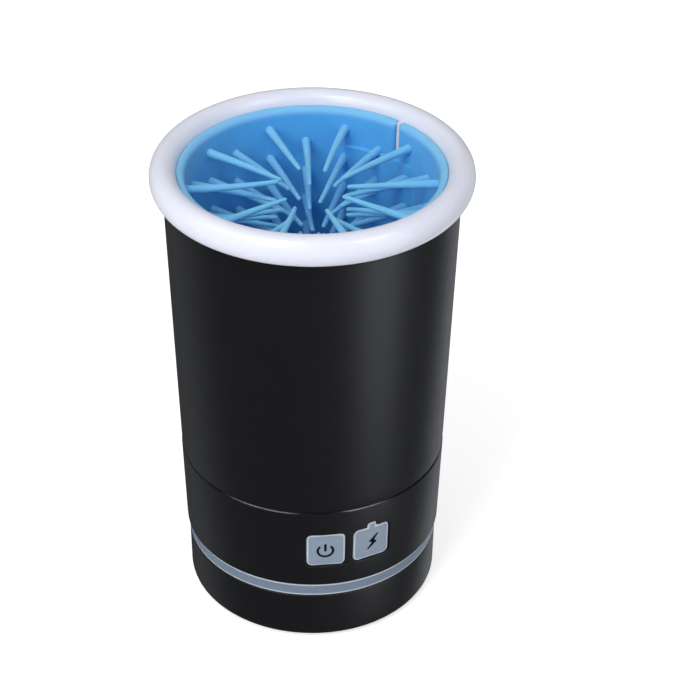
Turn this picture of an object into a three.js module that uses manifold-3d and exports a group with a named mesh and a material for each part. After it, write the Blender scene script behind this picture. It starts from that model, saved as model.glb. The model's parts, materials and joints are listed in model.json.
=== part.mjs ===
// Paw washer cup: a rechargeable cup that scrubs a dog's paw.
//
// A white wash cup with a rolled rim holds a blue silicone brush sleeve and drops into a black outer
// shell. A splined hub in the base turns the cup through a two-stage gear train. The base also holds
// the battery, the control board with its key, the light ring and the charging port.
//
// Millimetres, +Z up, origin at the centre of the plane the feet stand on, front towards -Y.

import * as THREE from "three";
import { mergeVertices } from "three/addons/utils/BufferGeometryUtils.js";
import Module from "manifold-3d";

const wasm = await Module();
wasm.setup();

// ---------------------------------------------------------------- driving dimensions

const HEIGHT = 164; // feet to the top of the rim
const RIM_RADIUS = 52; // outside of the rolled rim
const BODY_BASE_RADIUS = 43.0; // outside of the tapered body, at the feet
const BODY_TOP_RADIUS = 47.95; // outside of the tapered body, at the top of the shell
const WALL = 2.2; // black plastic walls
const GAP = 0.3; // between pieces that don't touch
const SEGMENTS = 36; // facets round the large turned pieces
const SMALL = 10; // facets round pins, holes and posts
const MEDIUM = 20; // facets round the shaft and what fits it
const REACH = 60; // past the outside of the body, for shapes that are cut back to it

// Heights of the outer bands, from the feet up.
const COVER_BOTTOM = 0.6;
const COVER_FLOOR = 2.2; // thickness of the cover's floor
const COVER_TOP = 19.35;
const RING_BOTTOM = 19.6;
const RING_TOP = 24.5;
const HOUSING_BOTTOM = 24.75;
const HOUSING_TOP = 55.6;
const SHELL_BOTTOM = 56.0;
const SHELL_TOP = 155.6;

const RIM = { halfWidth: 4.36, halfHeight: 5.12 }; // section of the rolled rim
const CUP = { wall: 1.6, floor: 61.3, floorThick: 2.2, innerTop: 43.3, innerBottom: 40.4 };
const SLEEVE = { wall: 2.3, bottom: 66, top: 160.2, slit: 1.7, slitAngle: 43 };
const BRISTLE = { perRow: 10, rows: 8, topRow: 153, pitch: 10, base: 1.35, tip: 0.7, hole: 23 };
const DECK = 53.1; // underside of the bulkhead between the wet and the dry side

const POWER_KEY = { angle: 6, z: 39.5, width: 13, height: 13.3, corner: 1.9 };
const CHARGE_LENS = { angle: 26.8, z: 39.6, width: 13.1, height: 13.2, corner: 1.9 };
const TERMINAL = { width: 3.2, height: 1.9 }; // stub on top of the battery-shaped lens
const KEY_RECESS = 0.35; // depth of the key's and the lens's faces below the housing

const SHAFT_RADIUS = 2.5;
const MODULE = 0.7; // gear tooth size
const TEETH = { pinion: 10, idlerLarge: 44, idlerSmall: 10, output: 48 };
const MOTOR = { x: -17.5, y: 0, radius: 12.2, bottom: 6.4, top: 37.1, shaft: 1.0 };
const IDLER = idlerPlace();
const GEAR_PLATE = { bottom: 37.3, top: 39.3 };
const LOWER_GEARS = { bottom: 40.0, top: 43.3 }; // motor pinion and the idler's large wheel
const UPPER_GEARS = { bottom: 44.2, top: 47.8 }; // idler's small wheel and the output gear
const BEARING = { outer: 6.5, bottom: 50.2, top: 54.2 };
const SEAL = { bottom: 54.6, top: 57.4 };

const BOSS_CIRCLE = 34.5; // cover screws
const BOSS_ANGLES = [20, 110, 205, 320];
const FOOT_CIRCLE = 32;
const FOOT_ANGLES = [65, 155, 245, 335];
const SHELL_SCREW_CIRCLE = 37.2;
const SHELL_SCREW_ANGLES = [62, 165, 255];
const PLATE_POSTS = [[-28, 10], [8, 20], [9, -22]];
const BATTERY = { x: 12, z: 13.2, radius: 9.2, length: 65 };
const BOARD = { face: 36.2, thick: 1.6, left: -9, right: 17, bottom: 27.5, top: 49.5 };
const BOARD_SCREWS = { across: [-6, 14], z: 29.6 };
const SEAL_CORD = { radius: 41.2, section: 0.7, z: 54.95 }; // ring seal between the base and the shell
const LED_STRIP = { radius: 38.8, thick: 0.4, bottom: 18.55, top: 25.55, count: 6 };
const PORT = { z: 34, width: 9, height: 3.2, front: 40.6, back: 33.4 }; // socket at the rear
const PLUG = { width: 13, height: 7.4, seat: 42.6 }; // cap of the rubber plug over the socket

// ---------------------------------------------------------------- materials

function plastic(color, roughness = 0.5, metalness = 0) {
  return new THREE.MeshStandardMaterial({ color, roughness, metalness });
}
const BLACK = plastic(0x1d1d20, 0.42);
const WHITE = plastic(0xe9eaf6, 0.25);
const BLUE = plastic(0x55a8e6, 0.5);
const FROSTED = plastic(0x9fb0c4, 0.35);
const GREY = plastic(0x8a8d92, 0.5);
const GREEN = plastic(0x1f5c3a, 0.45);
const RUBBER = plastic(0x161616, 0.85);
const STEEL = plastic(0xb9bcc0, 0.3, 1);
const NYLON = plastic(0xe8e4d4, 0.5);
const BRASS = plastic(0xc79a4b, 0.35, 1);
const RED = plastic(0xb3261e, 0.45);
const WRAP = plastic(0x2d6fb4, 0.4);

// ---------------------------------------------------------------- geometry helpers

// A closed BufferGeometry as a manifold-3d solid.
function solid(geometry) {
  const bare = geometry.index ? geometry.toNonIndexed() : geometry.clone();
  bare.deleteAttribute("normal");
  bare.deleteAttribute("uv");
  const merged = mergeVertices(bare, 1e-4);
  return new wasm.Manifold(
    new wasm.Mesh({
      numProp: 3,
      vertProperties: merged.attributes.position.array,
      triVerts: new Uint32Array(merged.index.array),
    }),
  );
}

// The BufferGeometry of a manifold-3d solid.
function geometryOf(made) {
  const mesh = made.getMesh();
  const geometry = new THREE.BufferGeometry();
  geometry.setAttribute("position", new THREE.BufferAttribute(mesh.vertProperties, 3));
  geometry.setIndex(new THREE.BufferAttribute(mesh.triVerts, 1));
  return geometry;
}

function join(...geometries) {
  return geometryOf(geometries.map(solid).reduce((a, b) => a.add(b)));
}

function cut(geometry, ...tools) {
  return geometryOf(tools.map(solid).reduce((a, b) => a.subtract(b), solid(geometry)));
}

function common(a, b) {
  return geometryOf(solid(a).intersect(solid(b)));
}

// A turned piece about Z. The profile lists [radius, z] anticlockwise; it starts and ends on the axis,
// or is a loop off the axis, which this closes.
function turned(profile, segments = SEGMENTS) {
  const points = profile.map(([r, z]) => new THREE.Vector2(r, z));
  const onAxis = profile[0][0] === 0 && profile.at(-1)[0] === 0;
  if (!onAxis) points.push(points[0].clone());
  return new THREE.LatheGeometry(points, segments).rotateX(Math.PI / 2);
}

function ring(inner, outer, bottom, top, segments = SEGMENTS) {
  return turned([[inner, bottom], [outer, bottom], [outer, top], [inner, top]], segments);
}

// An upright cylinder, or a cone if radiusTop differs.
function rod(radius, bottom, top, { x = 0, y = 0, radiusTop = radius, segments = SMALL } = {}) {
  return new THREE.CylinderGeometry(radiusTop, radius, top - bottom, segments)
    .rotateX(Math.PI / 2)
    .translate(x, y, (bottom + top) / 2);
}

function block(x0, x1, y0, y1, z0, z1) {
  return new THREE.BoxGeometry(x1 - x0, y1 - y0, z1 - z0).translate(
    (x0 + x1) / 2,
    (y0 + y1) / 2,
    (z0 + z1) / 2,
  );
}

function prism(shape, bottom, top, curveSegments = 3) {
  return new THREE.ExtrudeGeometry(shape, {
    depth: top - bottom,
    bevelEnabled: false,
    curveSegments,
  }).translate(0, 0, bottom);
}

function roundedRectangle(width, height, corner) {
  const x = width / 2;
  const y = height / 2;
  const shape = new THREE.Shape();
  shape.moveTo(-x + corner, -y);
  shape.lineTo(x - corner, -y);
  shape.absarc(x - corner, -y + corner, corner, -Math.PI / 2, 0);
  shape.lineTo(x, y - corner);
  shape.absarc(x - corner, y - corner, corner, 0, Math.PI / 2);
  shape.lineTo(-x + corner, y);
  shape.absarc(-x + corner, y - corner, corner, Math.PI / 2, Math.PI);
  shape.lineTo(-x, -y + corner);
  shape.absarc(-x + corner, -y + corner, corner, Math.PI, 1.5 * Math.PI);
  shape.closePath();
  return shape;
}

function degrees(angle) {
  return THREE.MathUtils.degToRad(angle);
}

// A point on a circle, angle in degrees from +X.
function polar(radius, angle) {
  return [radius * Math.cos(degrees(angle)), radius * Math.sin(degrees(angle))];
}

// Outside radius of the tapered body at a height.
function bodyRadius(z) {
  return BODY_BASE_RADIUS + ((BODY_TOP_RADIUS - BODY_BASE_RADIUS) * z) / SHELL_TOP;
}

// Inside radius of the black walls at a height.
function insideRadius(z) {
  return bodyRadius(z) - WALL;
}

// Inside radius of the tapered wash cup at a height.
function cupRadius(z) {
  const top = HEIGHT - RIM.halfHeight;
  const share = (z - CUP.floor) / (top - CUP.floor);
  return CUP.innerBottom + (CUP.innerTop - CUP.innerBottom) * share;
}

// Outside radius of the brush sleeve at a height.
function sleeveRadius(z) {
  return cupRadius(z) - GAP;
}

// A point of the rolled rim's oval section, angle in degrees from straight out.
function rimPoint(angle) {
  return [
    RIM_RADIUS - RIM.halfWidth + RIM.halfWidth * Math.cos(degrees(angle)),
    HEIGHT - RIM.halfHeight + RIM.halfHeight * Math.sin(degrees(angle)),
  ];
}

function arc(from, to, steps, pointAt) {
  return Array.from({ length: steps + 1 }, (_, i) => pointAt(from + ((to - from) * i) / steps));
}

// ---------------------------------------------------------------- gear teeth

function idlerPlace() {
  const toOutput = ((TEETH.idlerSmall + TEETH.output) * MODULE) / 2;
  const toMotor = ((TEETH.pinion + TEETH.idlerLarge) * MODULE) / 2;
  const x = (toMotor ** 2 - toOutput ** 2 - MOTOR.x ** 2) / (-2 * MOTOR.x);
  return { x, y: -Math.sqrt(toOutput ** 2 - x ** 2) };
}

// Outline of a spur gear with stub involute teeth and running backlash; a tooth points at toothAt.
function gearShape(teeth, toothAt, flankPoints = 2) {
  const pressure = degrees(20);
  const backlash = 0.13;
  const pitch = (teeth * MODULE) / 2;
  const base = pitch * Math.cos(pressure);
  const tip = pitch + 0.8 * MODULE;
  const root = pitch - 1.1 * MODULE;
  const involute = (angle) => Math.tan(angle) - angle;
  const halfAt = (radius) => {
    const angle = Math.acos(Math.min(1, base / radius));
    return Math.PI / (2 * teeth) - backlash / (2 * pitch) + involute(pressure) - involute(angle);
  };
  const radii = arc(root, tip, flankPoints - 1, (r) => r);
  const points = [];
  for (let i = 0; i < teeth; i++) {
    const centre = toothAt + (2 * Math.PI * i) / teeth;
    for (const r of radii) points.push([r, centre - halfAt(r)]);
    for (const r of radii.toReversed()) points.push([r, centre + halfAt(r)]);
  }
  return new THREE.Shape(
    points.map(([r, a]) => new THREE.Vector2(r * Math.cos(a), r * Math.sin(a))),
  );
}

// Outline of the drive spline: a circle with six smooth lobes.
function splineShape(radius) {
  const lobes = 6;
  const lobe = 0.7;
  const steps = 30;
  return new THREE.Shape(
    Array.from({ length: steps }, (_, i) => {
      const angle = (2 * Math.PI * i) / steps;
      const r = radius + lobe * Math.cos(lobes * angle);
      return new THREE.Vector2(r * Math.cos(angle), r * Math.sin(angle));
    }),
  );
}

// ---------------------------------------------------------------- assembly

const model = new THREE.Group();
model.name = "paw_washer_cup";

function add(name, geometry, material, parent = model) {
  const mesh = new THREE.Mesh(geometry, material);
  mesh.name = name;
  parent.add(mesh);
  return mesh;
}

// A group turned so that its own -Y faces out at an angle to the right of the front.
function facing(angle) {
  const group = new THREE.Group();
  group.rotation.z = degrees(angle);
  model.add(group);
  return group;
}

// A pan-head screw with a straight slot, head up, the underside of the head at z 0.
function screwGeometry(radius, length, headRadius, headHeight) {
  const slot = headRadius * 0.7;
  const width = headRadius * 0.15;
  const depth = headHeight * 0.4;
  const body = turned(
    [
      [0, -length],
      [radius * 0.6, -length],
      [radius, -length + radius],
      [radius, 0],
      [headRadius, 0],
      [headRadius, headHeight * 0.55],
      [headRadius * 0.7, headHeight],
      [0, headHeight],
    ],
    8,
  );
  return cut(body, block(-slot, slot, -width, width, headHeight - depth, headHeight + 1));
}

function addScrew(name, geometry, [x, y], z, { headDown = false } = {}) {
  const screw = add(name, geometry, STEEL);
  screw.position.set(x, y, z);
  if (headDown) screw.rotation.x = Math.PI;
}

// ---------------------------------------------------------------- wash cup and brush

function addWashCup() {
  const lip = bodyRadius(SHELL_TOP) + 0.7;
  const recessTop = SHELL_TOP + 0.8;
  const outsideTop = insideRadius(SHELL_TOP) - 0.7;
  const outsideFloor = cupRadius(CUP.floor) + CUP.wall;
  const floorTop = CUP.floor + CUP.floorThick;
  const body = turned([
    [0, CUP.floor],
    [outsideFloor - 2, CUP.floor],
    [outsideFloor, CUP.floor + 2],
    [outsideTop, recessTop - 8],
    [outsideTop, recessTop],
    [lip, recessTop],
    [lip, 154.9],
    ...arc(-60, 180, 8, rimPoint),
    [cupRadius(floorTop + 2), floorTop + 2],
    [cupRadius(floorTop) - 2, floorTop],
    [11, floorTop],
    [9.7, floorTop + 1.5],
    [9.3, 71.6],
    [8.3, 72.6],
    [0, 72.6],
  ]);
  // The rib stands in the slit of the sleeve, so that the brush turns with the cup.
  const ribAngle = degrees(-SLEEVE.slitAngle);
  const ribBand = turned([
    [cupRadius(68) - 1.3, 68],
    [cupRadius(68) + 0.6, 68],
    [cupRadius(158) + 0.6, 158],
    [cupRadius(158) - 1.3, 158],
  ]);
  const rib = common(ribBand, block(-0.55, 0.55, 20, 60, 60, 160).rotateZ(ribAngle));
  const socket = prism(splineShape(6.95), CUP.floor - 1, 70.6);
  add("wash_cup", cut(join(body, rib), socket), WHITE);
}

function addBrushSleeve() {
  const { wall, bottom, top, slit, slitAngle } = SLEEVE;
  const edge = 1.8; // rounding of the top edge
  const outerTop = sleeveRadius(top) - 0.1;
  const tube = turned([
    [sleeveRadius(bottom) - wall, bottom],
    [sleeveRadius(bottom), bottom],
    [outerTop, top - 0.5],
    [outerTop - 0.5, top],
    ...arc(90, 180, 3, (a) => [
      outerTop - wall + edge + edge * Math.cos(degrees(a)),
      top - edge + edge * Math.sin(degrees(a)),
    ]),
  ]);
  let made = solid(tube);
  for (let row = 0; row < BRISTLE.rows; row++) {
    const z = BRISTLE.topRow - row * BRISTLE.pitch;
    const root = sleeveRadius(z) - wall + 1;
    const length = root - BRISTLE.hole / 2;
    const first = row % 2 ? -3 : -20.5;
    for (let i = 0; i < BRISTLE.perRow; i++) {
      const angle = degrees(first + (360 * i) / BRISTLE.perRow);
      const bristle = new THREE.CylinderGeometry(BRISTLE.base, BRISTLE.tip, length, 4)
        .translate(0, root - length / 2, 0)
        .rotateZ(-angle)
        .translate(0, 0, z);
      made = made.add(solid(bristle));
    }
  }
  const gap = block(-slit / 2, slit / 2, 20, 60, bottom - 1, top + 1).rotateZ(degrees(-slitAngle));
  // A thicker panel laps the slit on the inside, where the two ends of the rolled sheet meet.
  const lapTop = 147.6;
  const lap = turned([
    [sleeveRadius(bottom) - wall - 1.4, bottom],
    [sleeveRadius(bottom) - wall + 0.5, bottom],
    [sleeveRadius(lapTop) - wall + 0.5, lapTop],
    [sleeveRadius(lapTop) - wall - 1.4, lapTop],
  ]);
  const sector = new THREE.Shape();
  sector.moveTo(0, 0);
  for (const angle of [slitAngle - 26.5, slitAngle - 7, slitAngle + 12]) {
    sector.lineTo(60 * Math.sin(degrees(angle)), 60 * Math.cos(degrees(angle)));
  }
  const lapPanel = common(lap, prism(sector, 60, 162));
  add("brush_sleeve", geometryOf(made.subtract(solid(gap)).add(solid(lapPanel))), BLUE);
}

// ---------------------------------------------------------------- outer shell

function addShell() {
  const seam = 0.5; // chamfer that makes the groove over the base
  const flangeBottom = HOUSING_TOP + 0.15;
  const shell = turned([
    [34.6, flangeBottom],
    [bodyRadius(SHELL_BOTTOM) - 1.2, flangeBottom],
    [bodyRadius(SHELL_BOTTOM) - seam, SHELL_BOTTOM],
    [bodyRadius(SHELL_BOTTOM + seam), SHELL_BOTTOM + seam],
    [bodyRadius(SHELL_TOP - 0.4), SHELL_TOP - 0.4],
    [bodyRadius(SHELL_TOP) - 0.4, SHELL_TOP],
    [insideRadius(SHELL_TOP) + 0.4, SHELL_TOP],
    [insideRadius(SHELL_TOP), SHELL_TOP - 0.4],
    [insideRadius(58.4), 58.4],
    [34.6, 58.4],
  ]);
  const bosses = SHELL_SCREW_ANGLES.map((angle) => {
    const [x, y] = polar(SHELL_SCREW_CIRCLE, angle);
    return rod(3.1, 57, 60.7, { x, y });
  });
  const holes = SHELL_SCREW_ANGLES.map((angle) => {
    const [x, y] = polar(SHELL_SCREW_CIRCLE, angle);
    return rod(1.35, 50, 59.8, { x, y });
  });
  add("outer_shell", cut(join(shell, ...bosses), ...holes), BLACK);

  const seal = turned(
    arc(0, 288, 4, (a) => [
      SEAL_CORD.radius + SEAL_CORD.section * Math.cos(degrees(a)),
      SEAL_CORD.z + SEAL_CORD.section * Math.sin(degrees(a)),
    ]),
  );
  add("shell_seal", seal, RUBBER);

  const screw = screwGeometry(1.2, 6.2, 2.2, 1.4);
  SHELL_SCREW_ANGLES.forEach((angle, i) => {
    const place = polar(SHELL_SCREW_CIRCLE, angle);
    addScrew(`shell_screw_${i + 1}`, screw, place, DECK - 0.1, { headDown: true });
  });
}

// ---------------------------------------------------------------- key and lens

function keyShape(spec, grow) {
  return roundedRectangle(spec.width + 2 * grow, spec.height + 2 * grow, spec.corner + grow);
}

// The battery outline of the charge lens, extruded: a rounded rectangle with a terminal on top.
function lensPrism(grow, from = 0) {
  const plate = prism(keyShape(CHARGE_LENS, grow), from, REACH);
  const half = TERMINAL.width / 2 + grow;
  const top = CHARGE_LENS.height / 2;
  const terminal = block(-half, half, top - 2, top + TERMINAL.height + grow, from, REACH);
  return join(plate, terminal);
}

// Turns a piece drawn in XY and extruded along Z so that it stands at the front: its top is +Z and
// it runs out along -Y.
function stand(geometry, z) {
  return geometry.rotateX(Math.PI / 2).translate(0, 0, z);
}

// The part of the tapered body between two depths below its surface.
function bodyBand(outerDepth, innerDepth) {
  const low = HOUSING_BOTTOM + 2;
  const high = DECK - 0.5;
  return turned([
    [bodyRadius(low) - innerDepth, low],
    [bodyRadius(low) - outerDepth, low],
    [bodyRadius(high) - outerDepth, high],
    [bodyRadius(high) - innerDepth, high],
  ]);
}

function addKeyAndLens() {
  // Each face fills its window, and a taller flange behind the wall keeps it from falling out.
  const faceBand = () => bodyBand(KEY_RECESS, WALL + 0.2);
  const flangeBand = () => bodyBand(WALL + 0.15, WALL + 1.4);
  const flange = (spec, extra, lift) => {
    const shape = roundedRectangle(spec.width - 2, spec.height + extra, spec.corner);
    return common(flangeBand(), stand(prism(shape, 0, REACH), spec.z + lift));
  };

  const keyFace = common(faceBand(), stand(prism(keyShape(POWER_KEY, 0), 0, REACH), POWER_KEY.z));
  const stem = rod(2, BOARD.face + 2.8, BOARD.face + 6.2)
    .rotateX(Math.PI / 2)
    .translate(0, 0, POWER_KEY.z);
  add(
    "power_button",
    join(keyFace, flange(POWER_KEY, 2.8, 0), stem),
    FROSTED,
    facing(POWER_KEY.angle),
  );

  const lensFace = common(faceBand(), stand(lensPrism(0), CHARGE_LENS.z));
  add(
    "charge_lens",
    join(lensFace, flange(CHARGE_LENS, 4, TERMINAL.height / 2)),
    FROSTED,
    facing(CHARGE_LENS.angle),
  );
}

// ---------------------------------------------------------------- base housing

function addHousing() {
  const edge = 1.0; // rounding over the light ring
  const well = 9.2; // radius of the block round the bearing and the seal
  const groove = { inner: SEAL_CORD.radius - 0.8, outer: SEAL_CORD.radius + 0.8, depth: 1.45 };
  const body = turned([
    [0, 48.6],
    [well, 48.6],
    [well, DECK],
    [insideRadius(DECK), DECK],
    [insideRadius(HOUSING_BOTTOM), HOUSING_BOTTOM],
    [bodyRadius(HOUSING_BOTTOM) - edge, HOUSING_BOTTOM],
    [bodyRadius(HOUSING_BOTTOM) - 0.3, HOUSING_BOTTOM + 0.35],
    [bodyRadius(HOUSING_BOTTOM + edge), HOUSING_BOTTOM + edge],
    [bodyRadius(HOUSING_TOP - 0.3), HOUSING_TOP - 0.3],
    [bodyRadius(HOUSING_TOP) - 0.3, HOUSING_TOP],
    [groove.outer, HOUSING_TOP],
    [groove.outer, HOUSING_TOP - groove.depth],
    [groove.inner, HOUSING_TOP - groove.depth],
    [groove.inner, HOUSING_TOP],
    [well, HOUSING_TOP],
    [well, 58],
    [0, 58],
  ]);
  const coverBosses = BOSS_ANGLES.map((angle) => {
    const [x, y] = polar(BOSS_CIRCLE, angle);
    return rod(3, 16.3, 54, { x, y });
  });
  const platePosts = PLATE_POSTS.map(([x, y]) => rod(2.8, GEAR_PLATE.top + 0.1, 54, { x, y }));
  const pinBoss = rod(3.2, 48.9, 54, { x: IDLER.x, y: IDLER.y });
  const boardPosts = BOARD_SCREWS.across.map((x) => {
    const half = 1.9;
    const reach = Math.sqrt((BODY_BASE_RADIUS - 0.4) ** 2 - (Math.abs(x) + half) ** 2);
    const [low, high] = [BOARD_SCREWS.z - half, BOARD_SCREWS.z + half];
    const post = block(x - half, x + half, -reach, -BOARD.face - 0.2, low, high);
    return post.rotateZ(degrees(POWER_KEY.angle));
  });
  const portShelf = block(-9.5, 9.5, 27, 42, PORT.z - 5.2, PORT.z - 3.4);

  const tools = [
    rod(3.1, 40, 60), // shaft
    rod(BEARING.outer + 0.15, BEARING.bottom - 0.1, 59, { segments: MEDIUM }), // bearing and seal seat
    rod(1.65, 45, 52.6, { x: IDLER.x, y: IDLER.y }),
    ...PLATE_POSTS.map(([x, y]) => rod(1.15, 30, 48, { x, y })),
    ...BOSS_ANGLES.map((angle) => {
      const [x, y] = polar(BOSS_CIRCLE, angle);
      return rod(1.35, 10, 34, { x, y });
    }),
    ...SHELL_SCREW_ANGLES.map((angle) => {
      const [x, y] = polar(SHELL_SCREW_CIRCLE, angle);
      return rod(1.6, 50, 60, { x, y });
    }),
    stand(prism(keyShape(POWER_KEY, GAP), BOARD.face + 3, REACH), POWER_KEY.z)
      .rotateZ(degrees(POWER_KEY.angle)),
    stand(lensPrism(GAP, BOARD.face + 3), CHARGE_LENS.z).rotateZ(degrees(CHARGE_LENS.angle)),
    // socket window, and the shallow pocket that the plug's cap lies in
    stand(prism(roundedRectangle(PORT.width + 0.6, PORT.height + 0.7, 1.7), 35, REACH), PORT.z)
      .rotateZ(Math.PI),
    stand(prism(roundedRectangle(PLUG.width + 0.6, PLUG.height + 0.6, 2.6), PLUG.seat, REACH), PORT.z)
      .rotateZ(Math.PI),
    ...BOARD_SCREWS.across.map((x) =>
      rod(1.0, BOARD.face - 4, BOARD.face + 3.1)
        .rotateX(Math.PI / 2)
        .translate(x, 0, BOARD_SCREWS.z)
        .rotateZ(degrees(POWER_KEY.angle)),
    ),
  ];
  add(
    "base_housing",
    cut(join(body, ...coverBosses, ...platePosts, pinBoss, ...boardPosts, portShelf), ...tools),
    BLACK,
  );
}

// ---------------------------------------------------------------- light ring

function addLightRing() {
  const inner = 40.4;
  const middle = (RING_BOTTOM + RING_TOP) / 2;
  const outside = (z) => bodyRadius(z) + 0.1;
  const lens = turned([
    [inner, RING_BOTTOM],
    [outside(RING_BOTTOM) - 0.5, RING_BOTTOM],
    [outside(RING_BOTTOM), RING_BOTTOM + 0.5],
    [outside(middle) - 0.12, middle],
    [outside(RING_TOP), RING_TOP - 0.5],
    [outside(RING_TOP) - 0.5, RING_TOP],
    [inner, RING_TOP],
  ]);
  add("light_ring", lens, FROSTED);

  const { radius, thick, bottom, top, count } = LED_STRIP;
  add("led_strip", ring(radius, radius + thick, bottom, top), NYLON);
  for (let i = 0; i < count; i++) {
    const led = block(-1.4, 1.4, -radius - thick - 0.95, -radius - thick - 0.1, 21.4, 23.4);
    add(`ring_led_${i + 1}`, led, WHITE, facing((360 * (i + 0.5)) / count));
  }
}

// ---------------------------------------------------------------- bottom cover

function addCover() {
  const round = 3.4; // bottom edge
  const floorTop = COVER_BOTTOM + COVER_FLOOR;
  const corner = bodyRadius(COVER_BOTTOM + round);
  const body = turned([
    [0, COVER_BOTTOM],
    ...arc(-90, 0, 3, (a) => [
      corner - round + round * Math.cos(degrees(a)),
      COVER_BOTTOM + round + round * Math.sin(degrees(a)),
    ]),
    [bodyRadius(COVER_TOP - 0.4), COVER_TOP - 0.4],
    [bodyRadius(COVER_TOP) - 0.4, COVER_TOP],
    [insideRadius(COVER_TOP), COVER_TOP],
    [insideRadius(floorTop + 2), floorTop + 2],
    [insideRadius(floorTop) - 2, floorTop],
    [0, floorTop],
  ]);
  const posts = BOSS_ANGLES.map((angle) => {
    const [x, y] = polar(BOSS_CIRCLE, angle);
    return rod(4.1, 2, 16.1, { x, y });
  });
  const screwHoles = BOSS_ANGLES.flatMap((angle) => {
    const [x, y] = polar(BOSS_CIRCLE, angle);
    return [rod(1.6, 0, 20, { x, y }), rod(2.9, 0, 4.6, { x, y })];
  });
  const footRecesses = FOOT_ANGLES.map((angle) => {
    const [x, y] = polar(FOOT_CIRCLE, angle);
    return rod(4.8, 0, COVER_BOTTOM + 0.8, { x, y });
  });
  add("base_cover", cut(join(body, ...posts), ...screwHoles, ...footRecesses), BLACK);

  FOOT_ANGLES.forEach((angle, i) => {
    const foot = turned([[0, 0], [3.9, 0], [4.5, 0.6], [4.5, 1.3], [0, 1.3]], MEDIUM);
    const [x, y] = polar(FOOT_CIRCLE, angle);
    add(`foot_pad_${i + 1}`, foot, RUBBER).position.set(x, y, 0);
  });

  const screw = screwGeometry(1.25, 18, 2.6, 1.8);
  BOSS_ANGLES.forEach((angle, i) => {
    addScrew(`cover_screw_${i + 1}`, screw, polar(BOSS_CIRCLE, angle), 4.5, { headDown: true });
  });
}

// ---------------------------------------------------------------- drive train

function addDrive() {
  const shaft = turned(
    [
      [0, 35.8],
      [SHAFT_RADIUS - 0.4, 35.8],
      [SHAFT_RADIUS, 36.2],
      [SHAFT_RADIUS, 66],
      [1.4, 66],
      [1.4, 58],
      [0, 58],
    ],
    MEDIUM,
  );
  add("output_shaft", shaft, STEEL);
  const bore = rod(SHAFT_RADIUS + 0.1, 30, 68, { segments: MEDIUM });

  const skirt = turned(
    [
      [10.2, 56.6],
      [12.4, 56.6],
      [12.4, 61],
      [5, 61],
      [5, 58.9],
      [10.2, 58.9],
    ],
    28,
  );
  const spline = prism(splineShape(6.6), 58.9, 70);
  const washer = rod(3.4, 66.2, 71);
  add("drive_hub", cut(join(skirt, spline), bore, rod(1.6, 60, 71), washer), NYLON);
  addScrew("hub_screw", screwGeometry(1.2, 6.5, 2.5, 1.6), [0, 0], 66.3);

  const toOutput = Math.atan2(IDLER.y, IDLER.x);
  const outputGear = join(
    prism(gearShape(TEETH.output, toOutput), UPPER_GEARS.bottom, UPPER_GEARS.top),
    rod(3.7, UPPER_GEARS.bottom - 2.2, UPPER_GEARS.bottom + 1, { segments: MEDIUM }),
  );
  add("output_gear", cut(outputGear, bore), NYLON);

  const bearing = ring(SHAFT_RADIUS + 0.1, BEARING.outer, BEARING.bottom, BEARING.top, 32);
  add("shaft_bearing", bearing, STEEL);
  const seal = turned(
    [
      [SHAFT_RADIUS + 0.15, SEAL.bottom + 0.6],
      [SHAFT_RADIUS + 1.2, SEAL.bottom],
      [BEARING.outer, SEAL.bottom],
      [BEARING.outer, SEAL.top],
      [SHAFT_RADIUS + 1.4, SEAL.top],
      [SHAFT_RADIUS + 0.15, SEAL.bottom + 1.6],
    ],
    32,
  );
  add("shaft_seal", seal, RUBBER);
  const bush = turned(
    [
      [SHAFT_RADIUS + 0.1, 36.3],
      [3.9, 36.3],
      [3.9, GEAR_PLATE.top + 0.15],
      [4.9, GEAR_PLATE.top + 0.15],
      [4.9, LOWER_GEARS.bottom - 0.15],
      [SHAFT_RADIUS + 0.1, LOWER_GEARS.bottom - 0.15],
    ],
    24,
  );
  add("lower_bush", bush, BRASS);
}

function addIdler() {
  const group = new THREE.Group();
  group.position.set(IDLER.x, IDLER.y, 0);
  model.add(group);
  const toOutput = Math.atan2(-IDLER.y, -IDLER.x) + Math.PI / TEETH.idlerSmall;
  const toMotor = Math.atan2(MOTOR.y - IDLER.y, MOTOR.x - IDLER.x);
  const wheel = join(
    prism(gearShape(TEETH.idlerLarge, toMotor), LOWER_GEARS.bottom, LOWER_GEARS.top),
    prism(gearShape(TEETH.idlerSmall, toOutput, 3), LOWER_GEARS.top - 0.5, UPPER_GEARS.top + 0.4),
  );
  add("idler_gear", cut(wheel, rod(1.7, 35, 50)), NYLON, group);
  add("idler_pin", rod(1.5, 37.5, 52.2), STEEL, group);
}

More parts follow.
